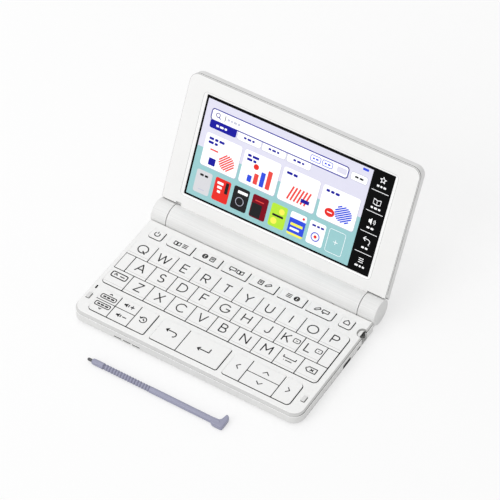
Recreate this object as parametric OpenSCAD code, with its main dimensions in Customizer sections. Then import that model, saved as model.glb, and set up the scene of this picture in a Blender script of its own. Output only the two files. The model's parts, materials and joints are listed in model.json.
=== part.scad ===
// Pocket dictionary with a hinged screen, drawn open and at rest on a table.
// Origin: middle of the whole object in width and depth, stylus included, at the height of the table.
// +X runs to the right along the barrel, +Y to the rear, +Z up. Millimetres.

/* [Case] */
// Width over the case, the lid and the barrel
body_w = 148; // [147:0.5:156]
// Depth of the case, from its front face to its rear wall
base_d = 80.5; // [80.5:0.5:90]
// Height of the key deck above the table
deck_h = 9; // [8.8:0.1:10.5]
// Height of the parting line above the table
part_h = 7.5; // [7.2:0.1:7.6]
// Corner radius of the case, seen from above
case_r = 7; // [5:0.5:8]
// Wall thickness of the case and the lid
wall = 1.2; // [1:0.1:1.4]
// Thickness of the deck plate
deck_t = 1.2; // [0.9:0.1:1.3]
// Width of the sloping band round the deck
rim = 0.85; // [0.5:0.05:1.1]
// Width of the dark parting line
part_gap = 0.3; // [0.2:0.05:0.4]
// Bevel along the bottom edge of the case
base_bevel = 1.4; // [0.6:0.1:1.8]
// Height of the feet under the lower case
foot_h = 0.7; // [0.5:0.1:0.9]

/* [Barrel and hinge] */
// Diameter of the barrel at the hinge
barrel_d = 15.7; // [15.6:0.1:16.4]
// How far the barrel sinks into the rear wall of the case
barrel_bite = 0.33; // [0.1:0.05:0.45]
// Clearance round the turning barrel
barrel_gap = 0.3; // [0.25:0.05:0.4]
// Height of the hinge axis above the deck
hinge_rise = 0.4; // [0.3:0.05:0.8]
// Length of the left end barrel
end_l = 10; // [9:0.1:10.5]
// Length of the right end barrel
end_r = 10.7; // [9.5:0.1:11.2]
// Open seam between an end barrel and the turning barrel
seam = 0.4; // [0.3:0.05:0.6]
// Radius of the hinge pins
pin_r = 2; // [1.5:0.1:2.4]
// Radial clearance of the pins in the turning barrel
pin_gap = 0.06; // [0.03:0.01:0.08]
// How far each pin reaches into its end barrel
pin_out = 6.8; // [5:0.1:8]
// Angle between the deck and the screen
open_angle = 115.5; // [100:0.5:135]

/* [Lid] */
// Thickness of the lid
lid_t = 8; // [7.8:0.1:9]
// How far the bezel face lies behind the hinge axis
lid_back = 0.4; // [0.3:0.05:0.7]
// Thickness of the bezel plate
bezel_t = 1.4; // [1.2:0.1:1.5]
// Open line between the bezel and the cover
lid_gap = 0.25; // [0.15:0.05:0.35]
// Corner radius of the lid
lid_r = 5.5; // [4:0.5:7]
// Bevel round the back of the cover
lid_bevel = 1.6; // [0.8:0.1:2]
// Space between the lid's lower edge and the end barrels
ear_gap = 1.05; // [0.6:0.05:1.3]
// Lowest point of the cover, above the hinge axis
cover_low = 5.7; // [5:0.1:6.5]
// Radius of the cover's two lower corners
cover_foot_r = 0.6; // [0.3:0.1:2]

/* [Screen] */
// White border left of the glass
glass_left = 13.1; // [11:0.1:18]
// White border right of the glass
glass_right = 13.6; // [11:0.1:18]
// Distance from the hinge axis to the lower edge of the glass
glass_low = 16.1; // [14.5:0.1:22]
// Thickness of the glass
glass_t = 1.1; // [0.8:0.1:1.2]
// Distance from the top edge of the lid to the glass
glass_top = 9.5; // [8:0.1:11]
// Depth of the glass below the bezel face
glass_sink = 0.45; // [0.3:0.05:0.5]
// Clearance round the glass
glass_gap = 0.15; // [0.1:0.05:0.25]
// Width of the bevelled frame round the glass
frame_bevel = 2; // [0.8:0.1:2.4]
// Thickness of the display module
lcd_t = 3.2; // [2.4:0.1:3.4]
// How far the display module reaches past the glass
lcd_over = 0.8; // [0.4:0.1:1.5]
// Width of the connector strip under the display
strip_w = 60; // [30:1:80]
// Height of the connector strip under the display
strip_h = 1.2; // [0.8:0.1:1.3]

/* [Keys] */
// Deck left of the letter keys
letters_left = 3.05; // [2.6:0.05:4]
// Deck right of the letter keys
letters_right = 4.45; // [3:0.05:5]
// Distance from the front face to the letter keys
letters_front = 25.3; // [25:0.1:26.5]
// Distance from the rear wall to the letter keys
letters_rear = 17; // [16.6:0.1:18]
// Open line round every key
key_gap = 0.42; // [0.35:0.01:0.5]
// Height of the keys above the deck
key_proud = 0.4; // [0.3:0.05:0.45]
// Thickness of a key cap
cap_t = 1.8; // [1.5:0.1:2]
// Length of the plunger under a key
plunger_h = 0.65; // [0.5:0.05:0.8]
// Radius of the plunger under a key
plunger_r = 1.4; // [1:0.1:1.8]
// Travel of a pressed key
key_travel = 0.5; // [0.3:0.05:0.5]
// Depth of the sloping front edge on a key
key_slope = 1.4; // [0.8:0.1:2]
// Drop of the sloping front edge on a key
key_drop = 0.15; // [0.08:0.01:0.25]
// Corner radius of the key fields
field_r = 2.4; // [1.5:0.1:3]
// Deck between two function keys of the rear row
wide_rib = 2.16; // [1.6:0.02:3]
// Deck behind the rear row
wide_rear = 5.5; // [5.4:0.1:6.5]
// Depth of the rear row
wide_d = 7.3; // [6.5:0.1:7.6]
// Deck left of the power key
power_left = 6.1; // [5.6:0.1:7]
// Width of the power key
power_w = 8.7; // [7.5:0.1:10]
// Deck between the power key and the function keys
power_gap = 3.6; // [2:0.1:5]
// Deck right of the home key
home_right = 8.2; // [7.6:0.1:9]
// Width of the home key
home_w = 8; // [7:0.1:10]
// Deck between the function keys and the home key
home_gap = 4.2; // [2:0.1:5]
// Distance from the front face to the command row
low_front = 5.2; // [4.8:0.1:6.4]
// Depth of the command row
low_d = 16.4; // [15:0.1:17]
// Deck left of the paging key
page_left = 7.8; // [7:0.1:9]
// Width of the paging key
page_w = 12.8; // [11:0.1:14]
// Width of the volume key
volume_w = 13.2; // [11:0.1:14]
// Width of the history key
history_w = 11.1; // [10:0.1:13]
// Deck between the history key and the back key
back_gap = 4; // [3:0.1:5]
// Width of the back key
back_w = 17.1; // [14:0.1:19]
// Deck between the enter key and the left cursor key
cursor_gap = 3.2; // [2.6:0.1:5]
// Width of the left and the right cursor key
cursor_w = 11.2; // [10:0.1:13]
// Width of the up and down cursor key
updown_w = 20.7; // [18:0.1:22]
// Deck right of the right cursor key
cursor_right = 9.2; // [8:0.1:10]
// Length of the raised bar on the two home-position letters
home_bar = 3; // [2:0.1:4]

/* [Inside] */
// Thickness of the circuit board
board_t = 0.8; // [0.6:0.1:1]
// Thickness of the dome sheet
sheet_t = 0.15; // [0.1:0.05:0.2]
// Height of a dome on the sheet
dome_h = 0.1; // [0.05:0.05:0.15]
// Radius of a dome on the sheet
dome_r = 2; // [1.5:0.1:2.5]
// Clearance between stacked inner pieces
stack_gap = 0.05; // [0.03:0.01:0.08]
// Radius of the screw posts
post_r = 1.9; // [1.6:0.05:1.95]
// Distance of the rear screw posts from the rear wall's face
post_rear = 3.25; // [3.2:0.05:3.4]
// Distance of the front screw posts from the front face
post_front = 7.25; // [6:0.25:8]
// Distance of the corner screw posts from the sides
post_side = 4; // [3.9:0.05:4.1]
// Radius of the case screws
screw_r = 1; // [0.8:0.05:1.1]
// Length of the case screws under the head
screw_l = 4.4; // [3.5:0.1:4.6]
// Radius of the screw heads
head_r = 1.8; // [1.5:0.1:2]
// Height of the screw heads
head_t = 0.55; // [0.4:0.05:0.6]
// Width of the largest chip
chip_w = 14; // [8:1:16]
// Radius of the speaker
speaker_r = 7; // [5:0.5:7.5]
// Distance from the left side to the middle of the speaker
speaker_left = 36.6; // [30:0.1:45]
// Length of a speaker slot
slot_l = 4.85; // [3:0.05:5.2]
// Distance between speaker slots
slot_pitch = 6.1; // [5.6:0.1:7]
// Height of a slot in the case wall
slot_h = 0.5; // [0.4:0.1:0.8]
// Distance from the rear wall to the middle of the data socket
port_rear = 29.1; // [26:0.1:40]
// Width of the data socket's opening
port_w = 8.2; // [7:0.1:9]
// Height of the data socket's opening
port_h = 2.3; // [1.6:0.1:2.4]
// Distance from the rear wall to the short side slot
side_slot_rear = 14.45; // [14:0.05:18]
// Length of the short side slot
side_slot_l = 3.35; // [2:0.05:4]
// Length of a front foot
foot_w = 12; // [8:0.5:16]
// Depth of a front foot
foot_d = 5; // [3:0.5:6]
// Distance from the sides to the middle of a front foot
foot_side = 16; // [12:0.5:24]
// Radius of a rear foot
rear_foot_r = 2.4; // [1.5:0.1:3]
// Width of a lid bumper
bumper_w = 2; // [1.4:0.1:2.4]
// Length of a lid bumper
bumper_l = 3.9; // [2:0.1:5]

/* [Batteries] */
// Length of one cell
cell_l = 50.5; // [49.5:0.1:50.5]
// Radius of one cell
cell_r = 7.05; // [6.9:0.05:7.1]
// Radius of the battery bore
bay_bore_r = 7.2; // [7.15:0.01:7.25]
// Bore beyond the battery door at each end
door_in = 3.9; // [3:0.1:10]
// Angle that the battery door covers round the barrel
door_angle = 75; // [60:1:80]
// Clearance round the battery door
door_gap = 0.25; // [0.15:0.05:0.3]
// Slide of the battery door
door_slide = 1.5; // [1:0.1:2]
// Radius of the contact plates
plate_r = 6.2; // [4:0.1:6.8]
// Thickness of the contact plates
plate_t = 0.5; // [0.3:0.1:0.8]
// Radius of the contact spring
spring_r = 4; // [3:0.1:6]
// Length of the pressed contact spring
spring_l = 3.2; // [2:0.1:4]
// Solid wall between the battery bore and the hinge pins
plug_wall = 1.5; // [1:0.1:2]

/* [Stylus and its bay] */
// Radius of the stylus
stylus_r = 1.8; // [1.6:0.05:1.85]
// Length of the stylus from its tip to the rear of its head
stylus_l = 89; // [80:0.5:90]
// Length of the dark tip
tip_l = 3.1; // [2:0.1:4]
// Radius of the dark tip
tip_r = 0.9; // [0.6:0.05:1.2]
// Number of grip ribs
rib_count = 16; // [10:1:18]
// Distance between grip ribs
rib_pitch = 1.82; // [1.5:0.02:1.9]
// Depth of the grooves between the grip ribs
rib_depth = 0.18; // [0.1:0.02:0.3]
// Distance of the grip's ribs from the tip
grip_from = 11.8; // [10.5:0.1:13]
// Width of the stylus head
head_w = 3.2; // [2.6:0.1:3.6]
// Reach of the hooked head from the stylus axis
hook_reach = 6.8; // [5:0.1:7.5]
// Reach of the head on the other side of the axis
hook_back = 2.9; // [2.2:0.1:3]
// Distance of the stylus in front of the case
stylus_off = 21; // [15:0.5:30]
// Tip of the stylus, left of the case's middle
stylus_x = 48.7; // [40:0.1:55]
// Radial clearance of the stylus in its bay
bay_gap = 0.18; // [0.1:0.01:0.2]
// Distance from the rear wall to the middle of the bay
bay_rear = 10.5; // [10:0.1:10.8]
// Wall round the bay
bay_wall = 0.6; // [0.5:0.05:0.7]
// Width of the finger notch at the mouth of the bay
notch_w = 4.2; // [4:0.1:4.6]
// Depth of the finger notch, into the side of the case
notch_in = 1.15; // [0.8:0.05:1.15]
// Length of the finger ramp on the deck
ramp_l = 4.2; // [3:0.1:4.6]
// Width of the finger ramp on the deck
ramp_w = 6.4; // [5:0.1:7]

/* [Hidden] */
$fn = 64;
half_w = body_w / 2;
floor_top = foot_h + wall;
case_top = part_h - part_gap / 2;
deck_low = part_h + part_gap / 2;
deck_under = deck_h - deck_t;
deck_inset = 0.1;
barrel_r = barrel_d / 2;
lid_h = base_d + barrel_r - barrel_bite;
hinge_z = deck_h + hinge_rise;
pocket_r = barrel_r + barrel_gap;
ear_r = barrel_r + ear_gap;
lean = open_angle - 90;
turn_x0 = -half_w + end_l + seam;
turn_x1 = half_w - end_r - seam;
cover_y = lid_back + bezel_t + lid_gap;
back_y = lid_back + lid_t;
lid_reach = back_y * cos(lean) + (lid_h - lid_bevel) * sin(lean);
stylus_reach = stylus_off + hook_back;
grid = 0.25;
front = grid * round((stylus_reach - lid_h - lid_reach) / 2 / grid);
rear = front + base_d;
hinge_y = front + lid_h;
glass_y = lid_back + glass_sink;
glass_x0 = -half_w + glass_left;
glass_w = body_w - glass_left - glass_right;
glass_h = lid_h - glass_top - glass_low;
glass_mid = glass_x0 + glass_w / 2;
key_top = deck_h + key_proud;
cap_low = key_top - cap_t;
plunger_low = cap_low - plunger_h;
dome_top = plunger_low - key_travel - stack_gap;
sheet_top = dome_top - dome_h;
board_top = sheet_top - sheet_t - stack_gap;
board_low = board_top - board_t;
inner_w = half_w - wall;
lip_t = 1;
lip_gap = 0.2;
lip_low = sheet_top + 0.3;
board_in = wall + 1.6;
bay_r = stylus_r + bay_gap;
bay_z = foot_h + wall - 0.43 + bay_r;
bay_mid = rear - bay_rear;
bay_mouth = half_w - notch_in;
bay_end = bay_mouth - stylus_l + head_w - 0.8;
bay_half = bay_r + 0.5;
post_hole = screw_r + 0.02;
web_low = hinge_z - barrel_r + 0.05;
web_in = 1.2;
web_seam = 0.2;
groove_rear = 0.95;
groove_w = 0.6;
groove_t = 0.4;
pack_l = 2 * cell_l + spring_l + 2 * plate_t + 4 * stack_gap;
bore_x0 = (turn_x0 + turn_x1 - pack_l) / 2;
bore_x1 = bore_x0 + pack_l;
cells_x0 = bore_x0 + plate_t + spring_l + 2 * stack_gap;
pin_x0 = bore_x0 - plug_wall;
pin_x1 = bore_x1 + plug_wall;
port_y = rear - port_rear;
port_z = foot_h + 2.45;
speaker_x = -half_w + speaker_left;
door_start = -150;
posts = [
    [-half_w + post_side, front + post_front],
    [half_w - post_side, front + post_front],
    [-half_w + post_side, rear - post_rear],
    [half_w - post_side, rear - post_rear],
    [0, rear - post_rear]
];

// Key fields: left, right, front and rear edge, and the radii of the four corners
field_x0 = -half_w + letters_left;
field_x1 = half_w - letters_right;
field_y0 = front + letters_front;
field_y1 = rear - letters_rear;
pitch_x = (field_x1 - field_x0) / 10;
pitch_y = (field_y1 - field_y0) / 3;
low_y0 = front + low_front;
low_y1 = low_y0 + low_d;
wide_y1 = rear - wide_rear;
wide_y0 = wide_y1 - wide_d;
small_r = [1.8, 1.8, 0.4, 0.4];
power_x0 = -half_w + power_left;
home_x1 = half_w - home_right;
wide_x0 = power_x0 + power_w + power_gap;
wide_x1 = home_x1 - home_w - home_gap;
wide_w = (wide_x1 - wide_x0 - 5 * wide_rib) / 6;
wide_pitch = wide_w + wide_rib;
page_x0 = -half_w + page_left;
volume_x0 = page_x0 + page_w;
history_x0 = volume_x0 + volume_w;
back_x0 = history_x0 + history_w + back_gap;
enter_x0 = back_x0 + back_w;
right_x0 = half_w - cursor_right - cursor_w;
updown_x0 = right_x0 - updown_w;
left_x0 = updown_x0 - cursor_w;
enter_w = left_x0 - cursor_gap - enter_x0;
main_field = [field_x0, field_x1, field_y0, field_y1, field_r];
page_field = [page_x0, history_x0 + history_w, low_y0, low_y1, field_r];
back_field = [back_x0, enter_x0 + enter_w, low_y0, low_y1, field_r];
cursor_field = [left_x0, right_x0 + cursor_w, low_y0, low_y1, field_r];

// Each key: name, left, right, front and rear edge of its cell, its field, and what it is
PLAIN = 0;
BAR = 1;
ROCKER = 2;
row_1 = ["q", "w", "e", "r", "t", "y", "u", "i", "o", "p"];
row_2 = ["a", "s", "d", "f", "g", "h", "j", "k", "l"];
row_3 = ["shift", "z", "x", "c", "v", "b", "n", "m", "space", "delete"];

function letter_row(names, row, shift) = [
    for (i = [0 : len(names) - 1])
        [str("key_", names[i]),
            field_x0 + (i + shift) * pitch_x, field_x0 + (i + 1 + shift) * pitch_x,
            field_y0 + row * pitch_y, field_y0 + (row + 1) * pitch_y, main_field,
            (names[i] == "f" || names[i] == "j") ? BAR : PLAIN]
];

function own_field(x0, x1, r) = [x0, x1, wide_y0, wide_y1, r];

function wide_key(i) =
    let (x0 = wide_x0 + i * wide_pitch,
        r = [i == 0 ? 1.8 : 0.4, i == 5 ? 1.8 : 0.4, 0.4, 0.4])
    [str("key_book_", i + 1), x0, x0 + wide_w, wide_y0, wide_y1, own_field(x0, x0 + wide_w, r), PLAIN];

function low_key(name, x0, w, field, kind) = [str("key_", name), x0, x0 + w, low_y0, low_y1, field, kind];

home_x0 = home_x1 - home_w;
keys = concat(
    letter_row(row_1, 2, 0),
    letter_row(row_2, 1, 0.5),
    letter_row(row_3, 0, 0),
    [for (i = [0 : 5]) wide_key(i)],
    [
        ["key_power", power_x0, power_x0 + power_w, wide_y0, wide_y1,
            own_field(power_x0, power_x0 + power_w, small_r), PLAIN],
        ["key_home", home_x0, home_x0 + home_w, wide_y0, wide_y1,
            own_field(home_x0, home_x0 + home_w, small_r), PLAIN],
        low_key("page", page_x0, page_w, page_field, ROCKER),
        low_key("volume", volume_x0, volume_w, page_field, ROCKER),
        low_key("history", history_x0, history_w, page_field, PLAIN),
        low_key("back", back_x0, back_w, back_field, PLAIN),
        low_key("enter", enter_x0, enter_w, back_field, PLAIN),
        low_key("left", left_x0, cursor_w, cursor_field, PLAIN),
        low_key("up_down", updown_x0, updown_w, cursor_field, ROCKER),
        low_key("right", right_x0, cursor_w, cursor_field, PLAIN)
    ]
);

// A flat rectangle with its own radius at each corner: front left, front right, rear right, rear left
module rounded(x0, x1, y0, y1, r) {
    q = is_list(r) ? r : [r, r, r, r];
    polygon([
        [x0 + q[0], y0], [x1 - q[1], y0], [x1, y0 + q[1]], [x1, y1 - q[2]],
        [x1 - q[2], y1], [x0 + q[3], y1], [x0, y1 - q[3]], [x0, y0 + q[0]]
    ]);
    translate([x0 + q[0], y0 + q[0]]) circle(q[0]);
    translate([x1 - q[1], y0 + q[1]]) circle(q[1]);
    translate([x1 - q[2], y1 - q[2]]) circle(q[2]);
    translate([x0 + q[3], y1 - q[3]]) circle(q[3]);
}

// The plan of the case, drawn in by inset on every side
module case_plan(inset) {
    r = case_r - inset;
    rounded(-half_w + inset, half_w - inset, front + inset, rear - inset, [r, r, 1.2, 1.2]);
}

// A thin layer of the case plan, for blending two levels
module case_layer(inset, z) {
    translate([0, 0, z]) linear_extrude(0.01) case_plan(inset, $fn = 32);
}

// A field or key outline grown by d on every side
module field_plan(f, d) {
    q = is_list(f[4]) ? f[4] : [f[4], f[4], f[4], f[4]];
    rounded(f[0] - d, f[1] + d, f[2] - d, f[3] + d, [for (v = q) max(v + d, 0.1)]);
}

// A cylinder along X from x0 to x1 on the hinge axis of the case
module along_x(x0, x1, r) {
    translate([x0, 0, 0]) rotate([0, 90, 0]) cylinder(r = r, h = x1 - x0);
}

// Carries a child from the hinge axis into the place of the case's hinge
module at_hinge() {
    translate([0, hinge_y, hinge_z]) children();
}

// Carries a child from the lid's own frame, Z up the screen and Y to its back
module in_lid() {
    at_hinge() rotate([-lean, 0, 0]) children();
}

// A plate of the lid between two distances behind the hinge axis
module lid_plate(y0, y1, u0, inset, r_low) {
    r = lid_r - inset;
    translate([0, y1, 0]) rotate([90, 0, 0]) linear_extrude(y1 - y0)
        rounded(-half_w + inset, half_w - inset, u0 + inset, lid_h - inset, [r_low, r_low, r, r]);
}

// The space of the end barrels, cut from everything on the lid
module ear_cuts(r) {
    along_x(-half_w - 1, turn_x0, r);
    along_x(turn_x1, half_w + 1, r);
}

// The finger notch at the mouth of the stylus bay
module bay_notch() {
    translate([bay_mouth, bay_mid - notch_w / 2, foot_h + 0.6]) cube([10, notch_w, 20]);
}

// The finger ramp on the deck in front of the notch
module bay_ramp() {
    slope = atan(1 / ramp_l);
    x0 = half_w - ramp_l;
    intersection() {
        translate([x0, bay_mid, deck_h]) rotate([0, slope, 0]) translate([0, -10, 0]) cube([20, 20, 6]);
        translate([0, 0, deck_under]) linear_extrude(10)
            rounded(x0, half_w + 8, bay_mid - ramp_w / 2, bay_mid + ramp_w / 2, [2.8, 0.5, 0.5, 2.8]);
    }
}

// Two stubs below the table level of a screw: the hole and the pocket of its head
module screw_cut(p) {
    translate([p[0], p[1], foot_h - 1]) cylinder(r = screw_r + 0.25, h = 6);
    translate([p[0], p[1], foot_h - 1]) cylinder(r = head_r + 0.2, h = 1 + head_t + stack_gap);
}

module lower_case() {
    rib_l = base_d - bay_rear - 2 * board_in - 12;
    bay_top = bay_z + bay_r + bay_wall;
    color("gainsboro") difference() {
        union() {
            difference() {
                hull() {
                    case_layer(base_bevel, foot_h);
                    case_layer(base_bevel * 0.3, foot_h + base_bevel * 0.4);
                    case_layer(0, foot_h + base_bevel);
                    case_layer(0, case_top - 0.01);
                }
                translate([0, 0, floor_top]) linear_extrude(10) case_plan(wall);
            }
            translate([bay_end - bay_wall, bay_mid - bay_half, floor_top - 0.2])
                cube([inner_w + 0.2 - bay_end + bay_wall, 2 * bay_half, bay_top - floor_top + 0.2]);
            for (x = [speaker_x - speaker_r - 1.6, 0, half_w / 2]) {
                translate([x, front + board_in + 4, floor_top - 0.1]) cube([1, rib_l, 1]);
            }
        }
        at_hinge() along_x(-half_w - 1, half_w + 1, pocket_r);
        translate([bay_end, bay_mid, bay_z]) rotate([0, 90, 0]) cylinder(r = bay_r, h = 200);
        bay_notch();
        for (p = posts) screw_cut(p);
        speaker_slots();
        side_port(1);
        translate([inner_w - 0.5, rear - side_slot_rear - side_slot_l, floor_top - 0.55])
            cube([wall + 1, side_slot_l, slot_h]);
    }
}

// Three slots through the front wall, in front of the speaker
module speaker_slots() {
    for (i = [-1 : 1]) {
        translate([speaker_x + i * slot_pitch - slot_l / 2, front - 1, floor_top - 0.05])
            cube([slot_l, wall + 1.5, slot_h]);
    }
}

// The opening of the data socket in the right-hand wall, or its cavity when smaller
module side_port(grow) {
    w = port_w / 2 - port_h / 2;
    h = port_h / 2 + (grow - 1);
    for (y = [-w, w]) {
        translate([half_w - 7, port_y + y, port_z]) rotate([0, 90, 0]) cylinder(r = h, h = 9);
    }
    translate([half_w - 7, port_y - w, port_z - h]) cube([9, 2 * w, 2 * h]);
}

module keyboard_deck() {
    color("whitesmoke") difference() {
        union() {
            hull() {
                case_layer(deck_inset, deck_low);
                case_layer(rim, deck_h - 0.01);
            }
            difference() {
                translate([0, 0, lip_low]) linear_extrude(deck_low - lip_low + 0.1) case_plan(wall + lip_gap);
                translate([0, 0, lip_low - 1]) linear_extrude(9) case_plan(wall + lip_gap + lip_t);
            }
            for (p = posts) {
                translate([p[0], p[1], floor_top + stack_gap])
                    cylinder(r = post_r, h = deck_under - floor_top);
            }
            end_barrel(-half_w, turn_x0 - seam, web_in, web_seam);
            end_barrel(turn_x1 + seam, half_w, web_seam, web_in);
            for (x = [field_x0, field_x1 - pitch_x / 2]) {
                translate([x + key_gap / 2, field_y0 + pitch_y + key_gap / 2, deck_h - 0.5])
                    cube([pitch_x / 2 - key_gap, pitch_y - key_gap, 0.5 + key_proud]);
            }
        }
        deck_hollow();
        deck_wells();
        at_hinge() along_x(turn_x0 - seam, turn_x1 + seam, pocket_r);
        at_hinge() {
            along_x(turn_x0 - seam - pin_out - 0.2, turn_x0, pin_r + 0.02);
            along_x(turn_x1, turn_x1 + seam + pin_out + 0.2, pin_r + 0.02);
        }
        translate([-half_w - 1, rear - groove_rear, deck_h - groove_t]) cube([body_w + 2, groove_w, 3]);
        bay_notch();
        bay_ramp();
        for (p = posts) {
            translate([p[0], p[1], 0]) cylinder(r = post_hole, h = foot_h + head_t + screw_l + 0.4);
        }
        translate([0, 0, deck_h - 4]) linear_extrude(8)
            rounded(-half_w + 2.9, -half_w + 3.9, front + 19.3, front + 22.1, 0.48);
    }
}

// An end barrel with the webs that carry it, set in by in_0 and in_1 at its two ends
module end_barrel(x0, x1, in_0, in_1) {
    web_top = deck_h - groove_t;
    at_hinge() along_x(x0, x1, barrel_r);
    translate([x0 + in_0, rear - 1.5, deck_low]) cube([x1 - x0 - in_0 - in_1, 5, web_top - deck_low]);
    translate([x0 + in_0, rear + 0.1, web_low])
        cube([x1 - x0 - in_0 - in_1, hinge_y - rear, web_top - web_low]);
}

// The room under the deck plate, inside the sloping band
module deck_hollow() {
    translate([0, 0, deck_low - 1]) linear_extrude(deck_under - deck_low + 1) difference() {
        case_plan(wall + lip_gap + lip_t);
        for (p = posts) translate(p) circle(post_r);
    }
}

// Every opening for keys, cut right through the deck and its lip
module deck_wells() {
    g = key_gap / 2;
    translate([0, 0, deck_low - 3]) linear_extrude(8) {
        difference() {
            field_plan(main_field, g);
            for (x = [field_x0 - pitch_x / 2 - g, field_x1 - pitch_x / 2 + g]) {
                translate([x, field_y0 + pitch_y + g]) square([pitch_x, pitch_y - 2 * g]);
            }
        }
        field_plan(page_field, g);
        field_plan(back_field, g);
        field_plan(cursor_field, g);
        for (k = keys) {
            if (k[3] == wide_y0) field_plan(k[5], g);
        }
    }
}

// The outline of one key: its cell inside its field, half a gap smaller
module key_plan(k) {
    g = key_gap / 2;
    intersection() {
        field_plan(k[5], -g);
        translate([k[1] + g, k[3] + g]) square([k[2] - k[1] - 2 * g, k[4] - k[3] - 2 * g]);
    }
}

// One key with its sloping front edge and its plunger, or two plungers on a rocker
module key_cap(k) {
    w = k[2] - k[1];
    d = k[4] - k[3];
    mid = [(k[1] + k[2]) / 2, (k[3] + k[4]) / 2];
    y0 = k[3] + key_gap / 2;
    color("white") difference() {
        union() {
            translate([0, 0, cap_low]) linear_extrude(cap_t) key_plan(k);
            if (k[6] == ROCKER) {
                for (s = [-1, 1]) {
                    translate([mid[0], mid[1] + s * d * 0.3, plunger_low])
                        cylinder(r = plunger_r, h = plunger_h + 0.1);
                }
            } else {
                translate([mid[0], mid[1], plunger_low]) cylinder(r = plunger_r, h = plunger_h + 0.1);
            }
            if (k[6] == BAR) {
                translate([mid[0] - home_bar / 2, y0 + 1.9, key_top - 0.1]) cube([home_bar, 0.5, 0.25]);
            }
        }
        translate([k[1] - 1, 0, 0]) rotate([90, 0, 90]) linear_extrude(w + 2)
            polygon([[y0 - 1, key_top - key_drop * 1.7], [y0 + key_slope, key_top], [y0 - 1, key_top + 1]]);
        if (k[6] == ROCKER) {
            translate([k[1] - 1, mid[1] - 0.2 + 0.35, key_top - 0.35]) cube([w + 2, 0.4, 2]);
        }
    }
}

module rubber_feet() {
    color("dimgray") {
        for (s = [-1, 1]) {
            x = s * (half_w - foot_side);
            linear_extrude(foot_h)
                rounded(x - foot_w / 2, x + foot_w / 2, front + foot_d, front + 2 * foot_d, foot_d * 0.48);
            translate([s * (half_w - (end_l + web_in) / 2), hinge_y - 3, 0])
                cylinder(r = rear_foot_r, h = web_low);
        }
        for (x = [-half_w + 3.4, half_w - 4.4]) {
            translate([0, 0, deck_h]) linear_extrude(hinge_rise + lid_back - 0.1)
                rounded(x - bumper_w / 2, x + bumper_w / 2, front + 11.3, front + 11.3 + bumper_l, 0.4);
        }
    }
}

module case_screws() {
    color("silver") for (p = posts) {
        translate([p[0], p[1], foot_h + stack_gap]) {
            cylinder(r = head_r, h = head_t - stack_gap);
            cylinder(r = screw_r, h = head_t + screw_l);
        }
    }
}

// One component block under the board, placed in parts of the case and sized in parts of the largest chip
module chip(x, y, w, d, h) {
    translate([x * half_w, front + y * base_d, board_low - h]) cube([w * chip_w, d * chip_w, h + 0.1]);
}

module main_board() {
    color("seagreen") difference() {
        union() {
            translate([0, 0, board_low]) linear_extrude(board_t)
                rounded(-half_w + board_in, half_w - board_in, front + board_in,
                    bay_mid - bay_half - 0.4, [case_r - 2, case_r - 2, 1, 1]);
            chip(0.05, 0.52, 1, 1, 1.3);
            chip(-0.24, 0.55, 0.8, 0.65, 1.2);
            chip(-0.6, 0.5, 0.65, 0.65, 1.1);
            chip(0.46, 0.57, 0.55, 0.55, 1.1);
            chip(0.6, 0.25, 0.85, 0.35, 1.6);
            chip(-0.27, 0.27, 0.4, 0.3, 1);
            translate([half_w - 7.6, port_y - port_w / 2 - 0.5, port_z - port_h / 2 - 0.1])
                cube([6.2, port_w + 1, board_low - port_z + port_h / 2 + 0.2]);
        }
        for (p = posts) translate([p[0], p[1], 0]) cylinder(r = post_r + 0.4, h = 20);
        translate([0.6, 0, 0]) difference() {
            side_port(0.85);
            translate([half_w - 9, port_y - 3, port_z - 0.35]) cube([7, 6, 0.7]);
        }
    }
    color("dimgray") translate([speaker_x, front + wall + 0.5 + speaker_r, floor_top + stack_gap]) {
        difference() {
            cylinder(r = speaker_r, h = board_low - floor_top - 4 * stack_gap);
            translate([0, 0, -1]) cylinder(r = speaker_r * 0.3, h = 1.4);
        }
    }
}

module dome_sheet() {
    color("lightsteelblue") {
        difference() {
            translate([0, 0, sheet_top - sheet_t]) linear_extrude(sheet_t)
                rounded(-half_w + board_in, half_w - board_in, front + board_in, wide_y1,
                    [case_r - 2, case_r - 2, 1, 1]);
            for (p = posts) translate([p[0], p[1], 0]) cylinder(r = post_r + 0.4, h = 20);
        }
        for (k = keys) {
            for (s = k[6] == ROCKER ? [-0.3, 0.3] : [0]) {
                translate([(k[1] + k[2]) / 2, (k[3] + k[4]) / 2 + s * (k[4] - k[3]), sheet_top - 0.05])
                    cylinder(r = dome_r, h = dome_h + 0.05);
            }
        }
    }
}

module hinge_pins() {
    color("silver") at_hinge() {
        along_x(turn_x0 - seam - pin_out, pin_x0 - 0.3, pin_r);
        along_x(pin_x1 + 0.3, turn_x1 + seam + pin_out, pin_r);
    }
}

// A curved slab of the barrel wall between two radii, as far round as the door reaches
module door_arc(x0, x1, r0, r1, trim) {
    translate([x0, 0, 0]) rotate([0, 90, 0]) rotate([0, 0, door_start + 90 + trim])
        rotate_extrude(angle = door_angle - 2 * trim) translate([r0, 0]) square([r1 - r0, x1 - x0]);
}

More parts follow.
